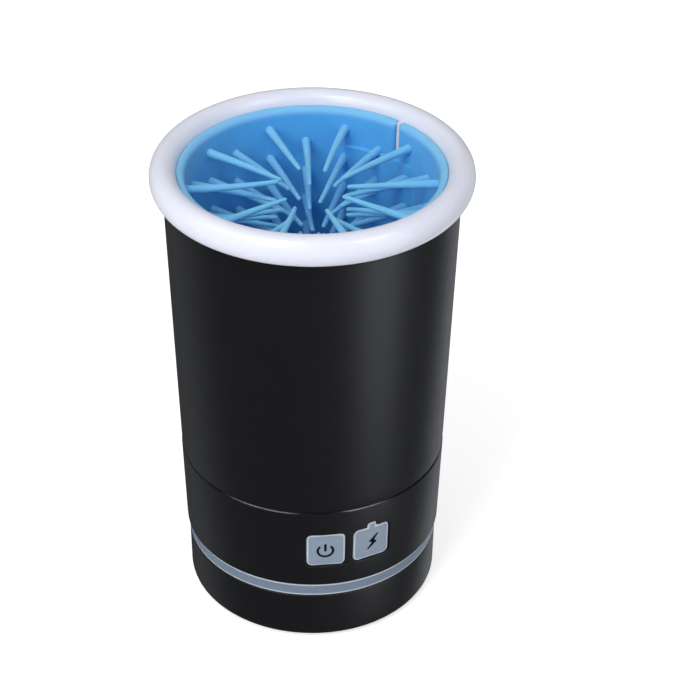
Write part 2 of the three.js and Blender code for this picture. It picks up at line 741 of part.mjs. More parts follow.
function addMotor() {
  const group = new THREE.Group();
  group.position.set(MOTOR.x, MOTOR.y, 0);
  model.add(group);
  const can = turned(
    [
      [0, MOTOR.bottom - 1.8],
      [3, MOTOR.bottom - 1.8],
      [3, MOTOR.bottom],
      [MOTOR.radius - 1, MOTOR.bottom],
      [MOTOR.radius, MOTOR.bottom + 1],
      [MOTOR.radius, MOTOR.top - 1],
      [MOTOR.radius - 1, MOTOR.top],
      [3, MOTOR.top],
      [3, MOTOR.top + 1.8],
      [0, MOTOR.top + 1.8],
    ],
    28,
  );
  const tap = Math.atan2(IDLER.y - MOTOR.y, IDLER.x - MOTOR.x) + Math.PI / 2;
  const taps = [1, -1].map((side) => [8 * side * Math.cos(tap), 8 * side * Math.sin(tap)]);
  const tapHoles = taps.map(([x, y]) => rod(1.15, 33, 38, { x, y }));
  const shaftHole = rod(MOTOR.shaft + 0.15, 29, 40);
  add("motor_can", cut(can, shaftHole, ...tapHoles), STEEL, group);
  add("motor_shaft", rod(MOTOR.shaft, 29.3, 43.4), STEEL, group);

  const toIdler = Math.atan2(IDLER.y - MOTOR.y, IDLER.x - MOTOR.x) + Math.PI / TEETH.pinion;
  const pinion = prism(gearShape(TEETH.pinion, toIdler, 3), LOWER_GEARS.bottom, LOWER_GEARS.top);
  add("motor_pinion", cut(pinion, rod(MOTOR.shaft + 0.1, 35, 45)), BRASS, group);

  const screw = screwGeometry(1.0, 4.2, 1.9, 1.0);
  taps.forEach(([x, y], i) => {
    addScrew(`motor_screw_${i + 1}`, screw, [MOTOR.x + x, MOTOR.y + y], GEAR_PLATE.top + 0.1);
  });
  return taps;
}

// Convex outline that wraps a set of circles, each [x, y, radius].
function hullShape(circles) {
  const points = circles.flatMap(([x, y, r]) =>
    arc(0, 345, 23, (a) => new THREE.Vector2(x + r * Math.cos(degrees(a)), y + r * Math.sin(degrees(a)))),
  );
  points.sort((a, b) => a.x - b.x || a.y - b.y);
  const half = (list) => {
    const chain = [];
    for (const p of list) {
      while (chain.length > 1) {
        const [a, b] = chain.slice(-2);
        if ((b.x - a.x) * (p.y - a.y) - (b.y - a.y) * (p.x - a.x) > 1e-6) break;
        chain.pop();
      }
      chain.push(p);
    }
    return chain.slice(0, -1);
  };
  return new THREE.Shape([...half(points), ...half(points.toReversed())]);
}

function addGearPlate(taps) {
  const outline = hullShape([
    [MOTOR.x, MOTOR.y, 10.5],
    [IDLER.x, IDLER.y, 5],
    ...PLATE_POSTS.map(([x, y]) => [x, y, 4]),
  ]);
  const plate = cut(
    prism(outline, GEAR_PLATE.bottom, GEAR_PLATE.top),
    rod(4.05, 30, 45, { segments: MEDIUM }),
    rod(3.2, 30, 45, { x: MOTOR.x, y: MOTOR.y }),
    rod(1.65, 30, 45, { x: IDLER.x, y: IDLER.y }),
    ...taps.map(([x, y]) => rod(1.25, 30, 45, { x: MOTOR.x + x, y: MOTOR.y + y })),
    ...PLATE_POSTS.map(([x, y]) => rod(1.3, 30, 45, { x, y })),
  );
  add("gear_plate", plate, GREY);
  const screw = screwGeometry(1.0, 8, 2.1, 1.3);
  PLATE_POSTS.forEach((place, i) => {
    addScrew(`plate_screw_${i + 1}`, screw, place, GEAR_PLATE.bottom - 0.1, { headDown: true });
  });
}

// ---------------------------------------------------------------- electrics

function addBattery() {
  const half = BATTERY.length / 2;
  const cell = turned(
    [
      [0, -half],
      [BATTERY.radius - 0.6, -half],
      [BATTERY.radius, -half + 0.6],
      [BATTERY.radius, half - 2],
      [BATTERY.radius - 0.6, half - 1.2],
      [3.2, half - 1.2],
      [3.2, half],
      [0, half],
    ],
    28,
  ).rotateX(-Math.PI / 2);
  add("battery_cell", cell, WRAP).position.set(BATTERY.x, 0, BATTERY.z);

  // The cradle stands on the cover: two saddles on a strip.
  const floor = COVER_BOTTOM + COVER_FLOOR + 0.1;
  const saddles = [-20, 12].map((y) => block(-11, 11, y, y + 8, floor, BATTERY.z));
  const strip = block(-4, 4, -20, 20, floor, floor + 1);
  const round = BATTERY.radius + GAP;
  const hollow = new THREE.CylinderGeometry(round, round, 80, 28).translate(0, 0, BATTERY.z);
  add("battery_cradle", cut(join(...saddles, strip), hollow), GREY).position.x = BATTERY.x;
}

function addControlBoard() {
  const board = facing(POWER_KEY.angle);
  const { face, thick, left, right, bottom, top } = BOARD;
  const lensX = face * Math.tan(degrees(CHARGE_LENS.angle - POWER_KEY.angle));
  const plate = cut(
    block(left, right, -face, -face + thick, bottom, top),
    ...BOARD_SCREWS.across.map((x) => rod(1.2, 30, 40).rotateX(Math.PI / 2).translate(x, 0, BOARD_SCREWS.z)),
  );
  add("control_board", plate, GREEN, board);

  const switchBody = cut(
    block(-3, 3, -face - 1.8, -face - 0.05, POWER_KEY.z - 3, POWER_KEY.z + 3),
    rod(1.85, face + 0.3, 40).rotateX(Math.PI / 2).translate(0, 0, POWER_KEY.z),
  );
  add("tact_switch", switchBody, BLACK, board);
  const plunger = rod(1.6, face + 1.3, 38.8)
    .rotateX(Math.PI / 2)
    .translate(0, 0, POWER_KEY.z);
  add("switch_plunger", plunger, RED, board);
  const ledAt = (x, z) => block(x - 1, x + 1, -face - 0.9, -face - 0.05, z - 1, z + 1);
  add("power_led", ledAt(5.2, POWER_KEY.z), WHITE, board);
  add("charge_led", ledAt(lensX, CHARGE_LENS.z), WHITE, board);
  const chip = block(2, 8, -face + thick + 0.05, -face + thick + 1.4, 36, 41);
  add("control_chip", chip, BLACK, board);

  const screw = screwGeometry(0.9, 4, 1.8, 1.1).rotateX(-Math.PI / 2);
  BOARD_SCREWS.across.forEach((x, i) => {
    add(`board_screw_${i + 1}`, screw, STEEL, board).position.set(x, -face + thick + 0.1, BOARD_SCREWS.z);
  });
}

function addChargePort() {
  const rear = facing(180);
  const { z, width, height, front, back } = PORT;
  const tubeShape = (grow) => roundedRectangle(width + grow, height + grow, (height + grow) / 2 - 0.05);
  const shell = prism(tubeShape(0), back, front);
  const hollow = prism(tubeShape(-0.7), back + 1.2, front + 1);
  const tongue = block(-3.3, 3.3, -0.35, 0.35, back + 0.5, front - 2.2);
  add("charge_port", stand(join(cut(shell, hollow), tongue), z), STEEL, rear);
  const boardTop = z - height / 2 - 0.15;
  add("port_board", block(-8, 8, -39.8, -27.5, boardTop - 1.2, boardTop), GREEN, rear);

  const capShape = roundedRectangle(PLUG.width, PLUG.height, 2.3);
  const cap = common(bodyBand(0.05, WALL), stand(prism(capShape, PLUG.seat + 0.2, REACH), z));
  const insert = stand(prism(roundedRectangle(7.4, 1.7, 0.8), front - 1.8, PLUG.seat + 0.6), z);
  add("port_plug", join(cap, insert), RUBBER, rear);
}

// A round wire through a list of points.
function addWire(name, material, points) {
  const path = new THREE.CatmullRomCurve3(points.map((p) => new THREE.Vector3(...p)));
  const section = new THREE.Shape().absarc(0, 0, 0.55, 0, 2 * Math.PI);
  const wire = new THREE.ExtrudeGeometry(section, { steps: 12, extrudePath: path, curveSegments: 3 });
  add(name, wire, material);
}

function addWires() {
  const motorEnd = MOTOR.bottom - 0.8;
  addWire("motor_wire_red", RED, [
    [-14, -7, motorEnd],
    [-13, -14, 5],
    [-8, -27, 12],
    [-4.4, -31, 24],
    [-4.2, -33.6, 30.5],
  ]);
  addWire("motor_wire_black", RUBBER, [
    [-21, -7, motorEnd],
    [-19, -16, 5],
    [-12, -29, 14],
    [-7, -31.6, 26],
    [-6.4, -33.2, 33.5],
  ]);
}

// ---------------------------------------------------------------- build

addWashCup();
addBrushSleeve();
addShell();
addKeyAndLens();
addHousing();
addLightRing();
addCover();
addDrive();
addIdler();
addGearPlate(addMotor());
addBattery();
addControlBoard();
addChargePort();
addWires();

export default model;
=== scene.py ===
"""Looks of the paw washer cup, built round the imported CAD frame.

Lengths are in metres, and mm() turns millimetres into them. The front of the cup faces -Y.
"""

import json
import math
import random

import bmesh
import bpy
from mathutils import Matrix, Vector


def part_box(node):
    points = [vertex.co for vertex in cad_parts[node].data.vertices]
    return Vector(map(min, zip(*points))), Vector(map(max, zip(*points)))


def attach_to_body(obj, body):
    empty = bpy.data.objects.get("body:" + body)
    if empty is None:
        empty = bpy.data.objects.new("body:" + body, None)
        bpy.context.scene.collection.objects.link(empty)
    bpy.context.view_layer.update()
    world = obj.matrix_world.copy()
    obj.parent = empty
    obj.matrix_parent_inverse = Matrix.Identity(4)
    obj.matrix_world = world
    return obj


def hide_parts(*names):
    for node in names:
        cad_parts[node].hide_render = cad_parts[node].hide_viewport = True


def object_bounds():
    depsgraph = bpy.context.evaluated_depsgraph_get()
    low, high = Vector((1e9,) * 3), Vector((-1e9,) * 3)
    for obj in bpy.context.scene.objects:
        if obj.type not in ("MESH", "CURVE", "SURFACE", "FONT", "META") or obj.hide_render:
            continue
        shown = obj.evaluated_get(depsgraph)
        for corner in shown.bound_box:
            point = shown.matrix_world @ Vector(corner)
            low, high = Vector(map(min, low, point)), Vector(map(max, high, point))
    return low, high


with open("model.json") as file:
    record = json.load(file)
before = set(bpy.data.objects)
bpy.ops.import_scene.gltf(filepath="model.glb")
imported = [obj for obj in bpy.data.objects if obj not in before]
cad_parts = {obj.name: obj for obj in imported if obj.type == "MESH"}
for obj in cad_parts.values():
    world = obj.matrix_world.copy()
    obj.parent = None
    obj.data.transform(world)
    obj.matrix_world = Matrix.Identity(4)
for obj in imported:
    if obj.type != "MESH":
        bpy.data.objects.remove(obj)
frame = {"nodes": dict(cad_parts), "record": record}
cad_low, cad_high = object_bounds()
random.seed(7)


def mm(value):
    return value / 1000


# ---------------------------------------------------------------- sizes, from the frame where it has them

RIM_TOP = cad_high.z
RIM_RADIUS = cad_high.x
shell_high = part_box("outer_shell")[1]
cover_low, cover_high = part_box("base_cover")
ring_low, ring_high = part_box("light_ring")
cup_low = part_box("wash_cup")[0]
sleeve_low, sleeve_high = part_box("brush_sleeve")
hub_low, hub_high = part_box("drive_hub")

WALL = mm(2.2)  # thickness of the black body
SEAM = mm(56.08)  # bottom of the outer shell
HOUSING_TOP = mm(55.9)
HOUSING_BOTTOM = mm(24.75)
DECK = mm(53.1)  # underside of the housing's top plate
EDGE = mm(0.34)  # chamfer along the housing's top edge
RIM_HALF_WIDTH = mm(4.36)
RIM_HALF_HEIGHT = mm(5.12)
SLIT_ANGLE = 47  # degrees from +X, anticlockwise seen from above
SLIT_WIDTH = mm(1.9)
HOLE_RADIUS = mm(11.5)  # clear hole between the bristle tips
CUP_FLOOR = cup_low.z + mm(2.2)  # upper face of the cup's floor
RIB_REACH, RIB_HALF_WIDTH = mm(1.95), mm(0.6)  # the rib that stands in the sleeve's slit
WINDOW_GAP, WINDOW_LIP = mm(0.3), mm(0.22)  # round the key and the lens
KEY_RECESS = mm(0.4)  # from the body's surface to the faces of the key and the lens
RING_RECESS = mm(0.45)  # and to that of the light ring
SYMBOL_THICKNESS = mm(0.1)
POWER_KEY = {"angle": 6, "z": mm(39.5), "width": mm(13), "height": mm(13.3), "corner": mm(1.9)}
CHARGE_LENS = {"angle": 26.8, "z": mm(39.6), "width": mm(13.1), "height": mm(13.2), "corner": mm(1.9)}
TERMINAL = {"width": mm(3.2), "height": mm(1.9)}
PLUG = {"angle": 180, "z": mm(34), "width": mm(13), "height": mm(7.4), "corner": mm(2.3)}


def body_radius(z):
    """Outside of the tapered black body at a height."""
    z0, r0 = cover_high.z - mm(0.4), cover_high.x
    z1, r1 = shell_high.z - mm(0.4), shell_high.x
    return r0 + (r1 - r0) * (z - z0) / (z1 - z0)


def cup_radius(z):
    """Inside of the white wash cup at a height."""
    z0, z1 = cup_low.z, RIM_TOP - RIM_HALF_HEIGHT
    return mm(40.4) + mm(2.9) * (z - z0) / (z1 - z0)


def sleeve_radius(z):
    """Outside of the brush sleeve at a height, with its play in the cup."""
    return cup_radius(z) - mm(0.3)


# ---------------------------------------------------------------- mesh helpers

SHARP_ANGLE = 32  # degrees; a steeper edge is shaded sharp
ON_AXIS = 1e-7  # metres; a profile point nearer the axis than this is on it


def add_object(name, verts, faces, material, smooth=SHARP_ANGLE):
    """Makes a mesh object with its normals outward, shaded smooth up to an angle in degrees."""
    mesh = bpy.data.meshes.new(name)
    mesh.from_pydata([tuple(v) for v in verts], [], faces)
    mesh.update()
    work = bmesh.new()
    work.from_mesh(mesh)
    bmesh.ops.recalc_face_normals(work, faces=work.faces)
    work.to_mesh(mesh)
    work.free()
    mesh.materials.append(material)
    mesh.shade_smooth()
    mesh.set_sharp_from_angle(angle=math.radians(smooth))
    obj = bpy.data.objects.new(name, mesh)
    bpy.context.scene.collection.objects.link(obj)
    return obj


def attach(obj, body, slot, *nodes):
    """Makes a piece ride on a body and hides the CAD nodes it stands for; its slot argument is not used.
    """
    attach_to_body(obj, body)
    if nodes:
        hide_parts(*nodes)


def rounded(corners, steps=5):
    """Points of a closed outline from corners (a, b) or (a, b, radius), the latter eased by an arc."""
    points = []
    count = len(corners)
    for i, corner in enumerate(corners):
        here = Vector(corner[:2])
        radius = corner[2] if len(corner) > 2 else 0
        if radius == 0:
            points.append(tuple(here))
            continue
        back = (Vector(corners[i - 1][:2]) - here).normalized()
        ahead = (Vector(corners[(i + 1) % count][:2]) - here).normalized()
        half = back.angle(ahead) / 2
        reach = radius / math.tan(half)
        centre = here + (back + ahead).normalized() * (radius / math.sin(half))
        start = here + back * reach - centre
        end = here + ahead * reach - centre
        for k in range(steps + 1):
            mix = start.slerp(end, k / steps) * radius
            points.append(tuple(centre + mix))
    return points


def turned(name, profile, material, segments=192, smooth=SHARP_ANGLE):
    """A closed turned solid from points (radius, z) that start and end on the axis, or make a loop."""
    verts, rows = [], []
    for r, z in profile:
        if r < ON_AXIS:
            rows.append([len(verts)] * segments)
            verts.append((0, 0, z))
            continue
        rows.append(list(range(len(verts), len(verts) + segments)))
        for k in range(segments):
            a = 2 * math.pi * k / segments
            verts.append((r * math.cos(a), r * math.sin(a), z))
    on_axis = profile[0][0] < ON_AXIS and profile[-1][0] < ON_AXIS
    faces = []
    for i in range(len(rows) - 1 if on_axis else len(rows)):
        low, high = rows[i], rows[(i + 1) % len(rows)]
        for k in range(segments):
            n = (k + 1) % segments
            face = [low[k], low[n], high[n], high[k]]
            faces.append([v for j, v in enumerate(face) if v != face[j - 1]])
    return add_object(name, verts, [f for f in faces if len(f) > 2], material, smooth)


def loft(name, rings, material, smooth=SHARP_ANGLE):
    """Skins a list of rings with the same number of points; the two ends are closed by a face each."""
    count = len(rings[0])
    verts = [p for ring in rings for p in ring]
    faces = []
    for i in range(len(rings) - 1):
        for k in range(count):
            n = (k + 1) % count
            faces.append([i * count + k, i * count + n, (i + 1) * count + n, (i + 1) * count + k])
    faces.append(list(range(count)))
    faces.append(list(range((len(rings) - 1) * count, len(rings) * count)))
    return add_object(name, verts, faces, material, smooth)


def carve(obj, operation, tools):
    """Booleans the tools into obj, applies them, and deletes the tools."""
    for tool in tools:
        modifier = obj.modifiers.new("carve", "BOOLEAN")
        modifier.operation = operation
        modifier.solver = "EXACT"
        modifier.object = tool
    bpy.context.view_layer.update()
    shaped = bpy.data.meshes.new_from_object(obj.evaluated_get(bpy.context.evaluated_depsgraph_get()))
    obj.modifiers.clear()
    obj.data = shaped
    obj.data.name = obj.name
    for tool in tools:
        bpy.data.objects.remove(tool)
    shaped.shade_smooth()
    shaped.set_sharp_from_angle(angle=math.radians(SHARP_ANGLE))


def post(radius, bottom, top, x=0, y=0, segments=48):
    """An upright round tool for carve()."""
    turns = [2 * math.pi * k / segments for k in range(segments)]
    ring = [(x + radius * math.cos(a), y + radius * math.sin(a)) for a in turns]
    rings = [[(*point, z) for point in ring] for z in (bottom, top)]
    return loft("tool", rings, BLACK)


def polar(radius, angle):
    """A point (x, y) at an angle in degrees from +X."""
    return radius * math.cos(math.radians(angle)), radius * math.sin(math.radians(angle))


# ---------------------------------------------------------------- outlines on the tapered body


def half_sizes(spec, inset, grow):
    """Half the width, half the height and the corner radius of a spec, shrunk by inset, grown by grow."""
    x, y = spec["width"] / 2 + grow - inset, spec["height"] / 2 + grow - inset
    return x, y, max(spec["corner"] + grow - inset, mm(0.3))


def plate_outline(spec, inset=0.0, grow=0.0):
    """Rounded rectangle, anticlockwise."""
    x, y, r = half_sizes(spec, inset, grow)
    return rounded([(-x, -y, r), (x, -y, r), (x, y, r), (-x, y, r)], 8)


def battery_outline(spec, inset=0.0, grow=0.0):
    """Rounded rectangle with the battery's terminal on top."""
    x, y, r = half_sizes(spec, inset, grow)
    a, t = TERMINAL["width"] / 2 + grow - inset, y + TERMINAL["height"]
    e = max(mm(0.6) + grow - inset, mm(0.12))
    c = mm(0.35)
    corners = [(-x, -y, r), (x, -y, r), (x, y, r), (a, y, c), (a, t, e)]
    corners += [(-a, t, e), (-a, y, c), (-x, y, r)]
    return rounded(corners, 8)


def on_body(spec, u, v, depth):
    """A point at u across and v up from a spec's middle, at a depth under the tapered body's surface."""
    z = spec["z"] + v
    r = body_radius(z) - depth
    y = -math.sqrt(max(r * r - u * u, 1e-9))
    a = math.radians(spec["angle"])
    return (u * math.cos(a) - y * math.sin(a), u * math.sin(a) + y * math.cos(a), z)


def window_tool(spec, outline, grow, lip, depth):
    """A cutter through the body's wall, from 1.5 mm outside it, with a mouth rounded by lip."""
    layers = [(lip, -mm(1.5)), (lip, 0.0)]
    for t in (0.3, 0.6, 0.9, 1.2, math.pi / 2):
        layers.append((lip * (1 - math.sin(t)), lip * (1 - math.cos(t))))
    layers.append((0.0, depth))
    rings = [[on_body(spec, u, v, d) for u, v in outline(spec, grow=grow + extra)] for extra, d in layers]
    return loft("tool", rings, BLACK)


def pad(name, spec, outline, face_depth, back_depth, edge, material):
    """A pad that follows the body, with its face at one depth, its back at another and a rounded edge."""
    rings = [[on_body(spec, u, v, back_depth) for u, v in outline(spec)]]
    # 0 at the rounded edge, where the frosted material paints a highlight, rising to 1 on the face
    shades = [0.0]
    for k in range(7):
        t = math.pi / 2 * k / 6
        inset, depth = edge * (1 - math.cos(t)), face_depth + edge * (1 - math.sin(t))
        rings.append([on_body(spec, u, v, depth) for u, v in outline(spec, inset=inset)])
        shades.append(inside_share(inset))
    for extra in (mm(0.35), mm(0.7), mm(1.05)):
        inset = edge + extra
        rings.append([on_body(spec, u, v, face_depth) for u, v in outline(spec, inset=inset)])
        shades.append(inside_share(inset))
    last = outline(spec, inset=edge + mm(1.05))
    for share in (0.8, 0.6, 0.4, 0.2, 0.06):
        rings.append([on_body(spec, u * share, v * share, face_depth) for u, v in last])
        shades.append(1.0)
    obj = loft(name, rings, material)
    store_shade(obj, [s for s in shades for _ in rings[0]])
    return obj


def inside_share(inset):
    """0 at a pad's edge, rising to 1 at 1.1 mm inside it."""
    return min(inset / mm(1.1), 1.0)


def store_shade(obj, values):
    """Keeps a number per vertex that the frosted material reads: 0 at an edge, 1 inside. The material
    paints a highlight where it is low.
    """
    attribute = obj.data.attributes.new("inside", "FLOAT", "POINT")
    attribute.data.foreach_set("value", values)


def inlay(name, spec, polygons, face_depth, thick, material):
    """Flat symbols printed on a pad: each polygon is a list of (u, v) and becomes a thin closed solid."""
    verts, faces = [], []
    for polygon in polygons:
        base, count = len(verts), len(polygon)
        for depth in (face_depth + thick * 0.6, face_depth - thick * 0.4):
            verts += [on_body(spec, u, v, depth) for u, v in polygon]
        for k in range(count):
            n = (k + 1) % count
            faces.append([base + k, base + n, base + count + n, base + count + k])
        faces.append([base + k for k in range(count)])
        faces.append([base + count + k for k in range(count)])
    return add_object(name, verts, faces, material)


# ---------------------------------------------------------------- materials


class Nodes:
    """A small helper that builds a node tree with a Principled shader."""

    def __init__(self, name):
        self.material = bpy.data.materials.new(name)
        self.material.use_nodes = True
        self.tree = self.material.node_tree
        self.shader = self.tree.nodes["Principled BSDF"]
        self.place = self.add("ShaderNodeTexCoord").outputs["Object"]

    def add(self, kind, **values):
        """Adds a node. Each value is a property of the node where it has one, and an input otherwise."""
        node = self.tree.nodes.new(kind)
        for key, value in values.items():
            if hasattr(node, key):
                setattr(node, key, value)
            else:
                node.inputs[key.replace("_", " ")].default_value = value
        return node

    def link(self, source, target):
        self.tree.links.new(source, target)

    def stretched(self, x, y, z):
        """Object coordinates multiplied by three numbers."""
        node = self.add("ShaderNodeMapping")
        node.inputs["Scale"].default_value = (x, y, z)
        self.link(self.place, node.inputs["Vector"])
        return node.outputs["Vector"]

    def noise(self, scale, detail=4.0, place=None):
        node = self.add("ShaderNodeTexNoise", Scale=scale, Detail=detail, Roughness=0.5)
        self.link(place or self.place, node.inputs["Vector"])
        return node.outputs["Fac"]

    def ramp(self, source, stops):
        """Turns a number into a colour, by stops of (number, colour)."""
        node = self.add("ShaderNodeValToRGB")
        elements = node.color_ramp.elements
        while len(elements) < len(stops):
            elements.new(0.5)
        for element, (place, colour) in zip(elements, stops):
            element.position = place
            element.color = (*colour, 1)
        self.link(source, node.inputs["Fac"])
        return node.outputs["Color"]

    def span(self, source, low, high):
        """Turns 0 to 1 into low to high."""
        node = self.add("ShaderNodeMapRange")
        node.inputs["To Min"].default_value = low
        node.inputs["To Max"].default_value = high
        self.link(source, node.inputs["Value"])
        return node.outputs["Result"]

    def height(self, low, high):
        """Rises from 0 to 1 between two heights."""
        parts = self.add("ShaderNodeSeparateXYZ")
        self.link(self.place, parts.inputs[0])
        node = self.add("ShaderNodeMapRange")
        node.inputs["From Min"].default_value = low
        node.inputs["From Max"].default_value = high
        self.link(parts.outputs["Z"], node.inputs["Value"])
        return node.outputs["Result"]

    def mix(self, factor, first, second, blend="MIX"):
        """Mixes two colours. Each of the three is a value or another node's output."""
        node = self.add("ShaderNodeMixRGB", blend_type=blend)
        for key, value in zip(("Fac", "Color1", "Color2"), (factor, first, second)):
            if isinstance(value, bpy.types.NodeSocket):
                self.link(value, node.inputs[key])
            else:
                node.inputs[key].default_value = value if key == "Fac" else (*value, 1)
        return node.outputs["Color"]

    def bump(self, source, distance, strength):
        node = self.add("ShaderNodeBump", Strength=strength, Distance=distance)
        self.link(source, node.inputs["Height"])
        return node.outputs["Normal"]

    def set(self, **values):
        """Sets or links inputs of the shader, and returns the material."""
        for key, value in values.items():
            socket = self.shader.inputs[key.replace("_", " ")]
            if isinstance(value, bpy.types.NodeSocket):
                self.link(value, socket)
            else:
                socket.default_value = value
        return self.material


def shade(colour, factor):
    return tuple(min(c * factor, 1.0) for c in colour)


def moulded(
    name, colour, roughness, grain=2600, grain_depth=0.00002, spread=0.08, smooth_above=None, **extra
):
    """Moulded plastic or rubber: faint mottling, uneven gloss and a fine surface grain.

    Above the height given as smooth_above the surface is worn smooth, as an edge is by handling.
    """
    n = Nodes(name)
    tone = n.ramp(n.noise(90), [(0.3, shade(colour, 1 - spread)), (0.7, shade(colour, 1 + spread))])
    gloss = n.span(n.noise(220, 2), roughness - 0.04, roughness + 0.05)
    if smooth_above:
        worn = (0.14, 0.14, 0.14)
        gloss = n.mix(n.height(smooth_above - mm(0.02), smooth_above), gloss, worn)
    fine = n.bump(n.noise(grain, 2), grain_depth, 0.6)
    return n.set(Base_Color=tone, Roughness=gloss, Normal=fine, **extra)


def metal(name, colour, roughness):
    """Turned or brushed metal: fine streaks round the upright axis."""
    n = Nodes(name)
    streaks = n.noise(1.0, 6, n.stretched(40, 40, 1400))
    tone = n.ramp(streaks, [(0.3, shade(colour, 0.82)), (0.7, shade(colour, 1.05))])
    gloss = n.span(streaks, roughness - 0.08, roughness + 0.1)
    return n.set(Base_Color=tone, Metallic=1.0, Roughness=gloss, Normal=n.bump(streaks, 0.00002, 0.5))


def silicone(name, colour, painted_light_colour, lip):
    """Soft silicone that light passes a little way into. Painted sheen makes it paler toward its outline,
    and painted light from above makes it paler above the lip.
    """
    n = Nodes(name)
    facing = n.add("ShaderNodeLayerWeight", Blend=0.35).outputs["Facing"]
    tone = n.ramp(n.noise(140, 3), [(0.25, shade(colour, 0.95)), (0.75, shade(colour, 1.05))])
    # painted sheen: the colour turns paler where the surface turns away from the view
    tone = n.mix(n.span(facing, 0, 0.5), tone, painted_light_colour)
    # painted light from above: paler over the 2 mm above the lip
    painted_top_light = n.add("ShaderNodeMath", operation="MULTIPLY")
    n.link(n.height(lip, lip + mm(2)), painted_top_light.inputs[0])
    painted_top_light.inputs[1].default_value = 0.5
    tone = n.mix(painted_top_light.outputs[0], tone, painted_light_colour)
    gloss = n.span(n.noise(300, 2), 0.45, 0.58)
    normal = n.bump(n.noise(1800, 3), 0.00003, 0.5)
    return n.set(
        Base_Color=tone,
        Roughness=gloss,
        Normal=normal,
        Subsurface_Weight=0.35,
        Subsurface_Radius=(0.4, 0.9, 1.6),
        Subsurface_Scale=0.002,
        Specular_IOR_Level=0.1,
    )


def milky(name, colour):
    """Glossy translucent white of the wash cup; the gloss fades toward its outline."""
    n = Nodes(name)
    facing = n.add("ShaderNodeLayerWeight", Blend=0.5).outputs["Facing"]
    tone = n.ramp(n.noise(60, 3), [(0.3, shade(colour, 0.985)), (0.7, shade(colour, 1.01))])
    gloss = n.span(n.noise(500, 3), 0.2, 0.28)
    normal = n.bump(n.noise(900, 2), 0.00001, 0.4)
    return n.set(
        Base_Color=tone,
        Roughness=gloss,
        Normal=normal,
        Subsurface_Weight=0.5,
        Subsurface_Radius=(0.8, 0.9, 1.2),
        Subsurface_Scale=0.003,
        Specular_IOR_Level=n.span(facing, 0.35, 0.02),
        Coat_Weight=n.span(facing, 0.35, 0),
        Coat_IOR=1.35,
        Coat_Roughness=0.12,
        Sheen_Weight=0.2,
        Sheen_Roughness=0.4,
    )


def frosted(name, painted_light_colour, colour):
    """Frosted light pipe with a fine sanded texture; a painted highlight makes it lighter along its
    rounded edges.
    """
    n = Nodes(name)
    inside = n.add("ShaderNodeAttribute", attribute_name="inside").outputs["Fac"]
    # painted highlight: the first colour lightens the rounded edges, where the number read from the mesh
    # is low
    tone = n.ramp(inside, [(0.0, painted_light_colour), (0.35, painted_light_colour), (0.7, colour)])
    mottle = n.ramp(n.noise(400, 3), [(0.3, (0.86, 0.88, 0.92)), (0.7, (1, 1, 1))])
    tone = n.mix(0.35, tone, mottle, "MULTIPLY")
    normal = n.bump(n.noise(3200, 2), 0.00002, 0.6)
    return n.set(
        Base_Color=tone,
        Roughness=n.span(n.noise(700, 2), 0.34, 0.46),
        Normal=normal,
        Subsurface_Weight=0.4,
        Subsurface_Radius=(0.6, 0.8, 1.0),
        Subsurface_Scale=0.0012,
    )


BLACK = moulded("satin_black", (0.0038, 0.0038, 0.0052), 0.4, spread=0.05)
BAND = moulded(
    "satin_black_band", (0.0038, 0.0038, 0.0052), 0.4, spread=0.05, smooth_above=HOUSING_TOP - EDGE
)
RUBBER = moulded("black_rubber", (0.012, 0.012, 0.012), 0.72, grain=1500, grain_depth=0.00005)
WHITE = milky("milky_white", (0.79, 0.81, 0.93))
# The third colour of each is painted light: sheen toward the outline, and light from above over the top.
BLUE = silicone("blue_silicone", (0.085, 0.42, 0.86), (0.34, 0.66, 0.92), sleeve_high.z - mm(3))
BRISTLE = silicone("bristle_silicone", (0.18, 0.54, 0.87), (0.38, 0.68, 0.9), sleeve_high.z)
# The first colour of each is a painted highlight along the rounded edges.
FROSTED = frosted("frosted_lens", (0.72, 0.78, 0.86), (0.27, 0.34, 0.43))
RING = frosted("frosted_ring", (0.6, 0.67, 0.76), (0.19, 0.25, 0.33))
PRINT = moulded("printed_symbol", (0.001, 0.0015, 0.003), 0.75, Specular_IOR_Level=0.12)
STEEL = metal("bright_steel", (0.6, 0.6, 0.62), 0.3)
BRASS = metal("machined_brass", (0.72, 0.5, 0.22), 0.32)
NYLON = moulded("natural_nylon", (0.78, 0.75, 0.66), 0.5, Subsurface_Weight=0.2, Subsurface_Scale=0.002)
GREY = moulded("moulded_grey", (0.25, 0.26, 0.28), 0.5)
BOARD = moulded("solder_mask", (0.02, 0.16, 0.07), 0.35, grain=700, grain_depth=0.00004)
RED = moulded("moulded_red", (0.5, 0.02, 0.015), 0.35)
WRAP = moulded("cell_wrap", (0.04, 0.2, 0.45), 0.3)
LED = moulded("led_white", (0.85, 0.85, 0.8), 0.3)

# The finish of each CAD node that is carried over, by its material slot. Only the LEDs stay in "white".
BY_SLOT = {
    "black": BLACK,
    "white": LED,
    "blue_silicone": BLUE,
    "frosted": FROSTED,
    "black_rubber": RUBBER,
    "steel": STEEL,
    "brass": BRASS,
    "nylon": NYLON,
    "grey": GREY,
    "board": BOARD,
    "red": RED,
    "wrap": WRAP,
}


def dress_cad_nodes():
    """Gives each CAD node its material. The nodes that show are replaced further down."""
    slots = {s["node"]: s["material_slot"] for s in frame["record"]["subparts"]}
    for name, node in frame["nodes"].items():
        node.data.materials.clear()
        node.data.materials.append(BY_SLOT[slots[name]])


# ---------------------------------------------------------------- wash cup


def rim_arc(start, end, steps):
    """Points of the rolled rim's oval section between two angles, in degrees from straight out."""
    points = []
    for k in range(steps + 1):
        a = math.radians(start + (end - start) * k / steps)
        r = RIM_RADIUS - RIM_HALF_WIDTH + RIM_HALF_WIDTH * math.cos(a)
        points.append((r, RIM_TOP - RIM_HALF_HEIGHT + RIM_HALF_HEIGHT * math.sin(a)))
    return points


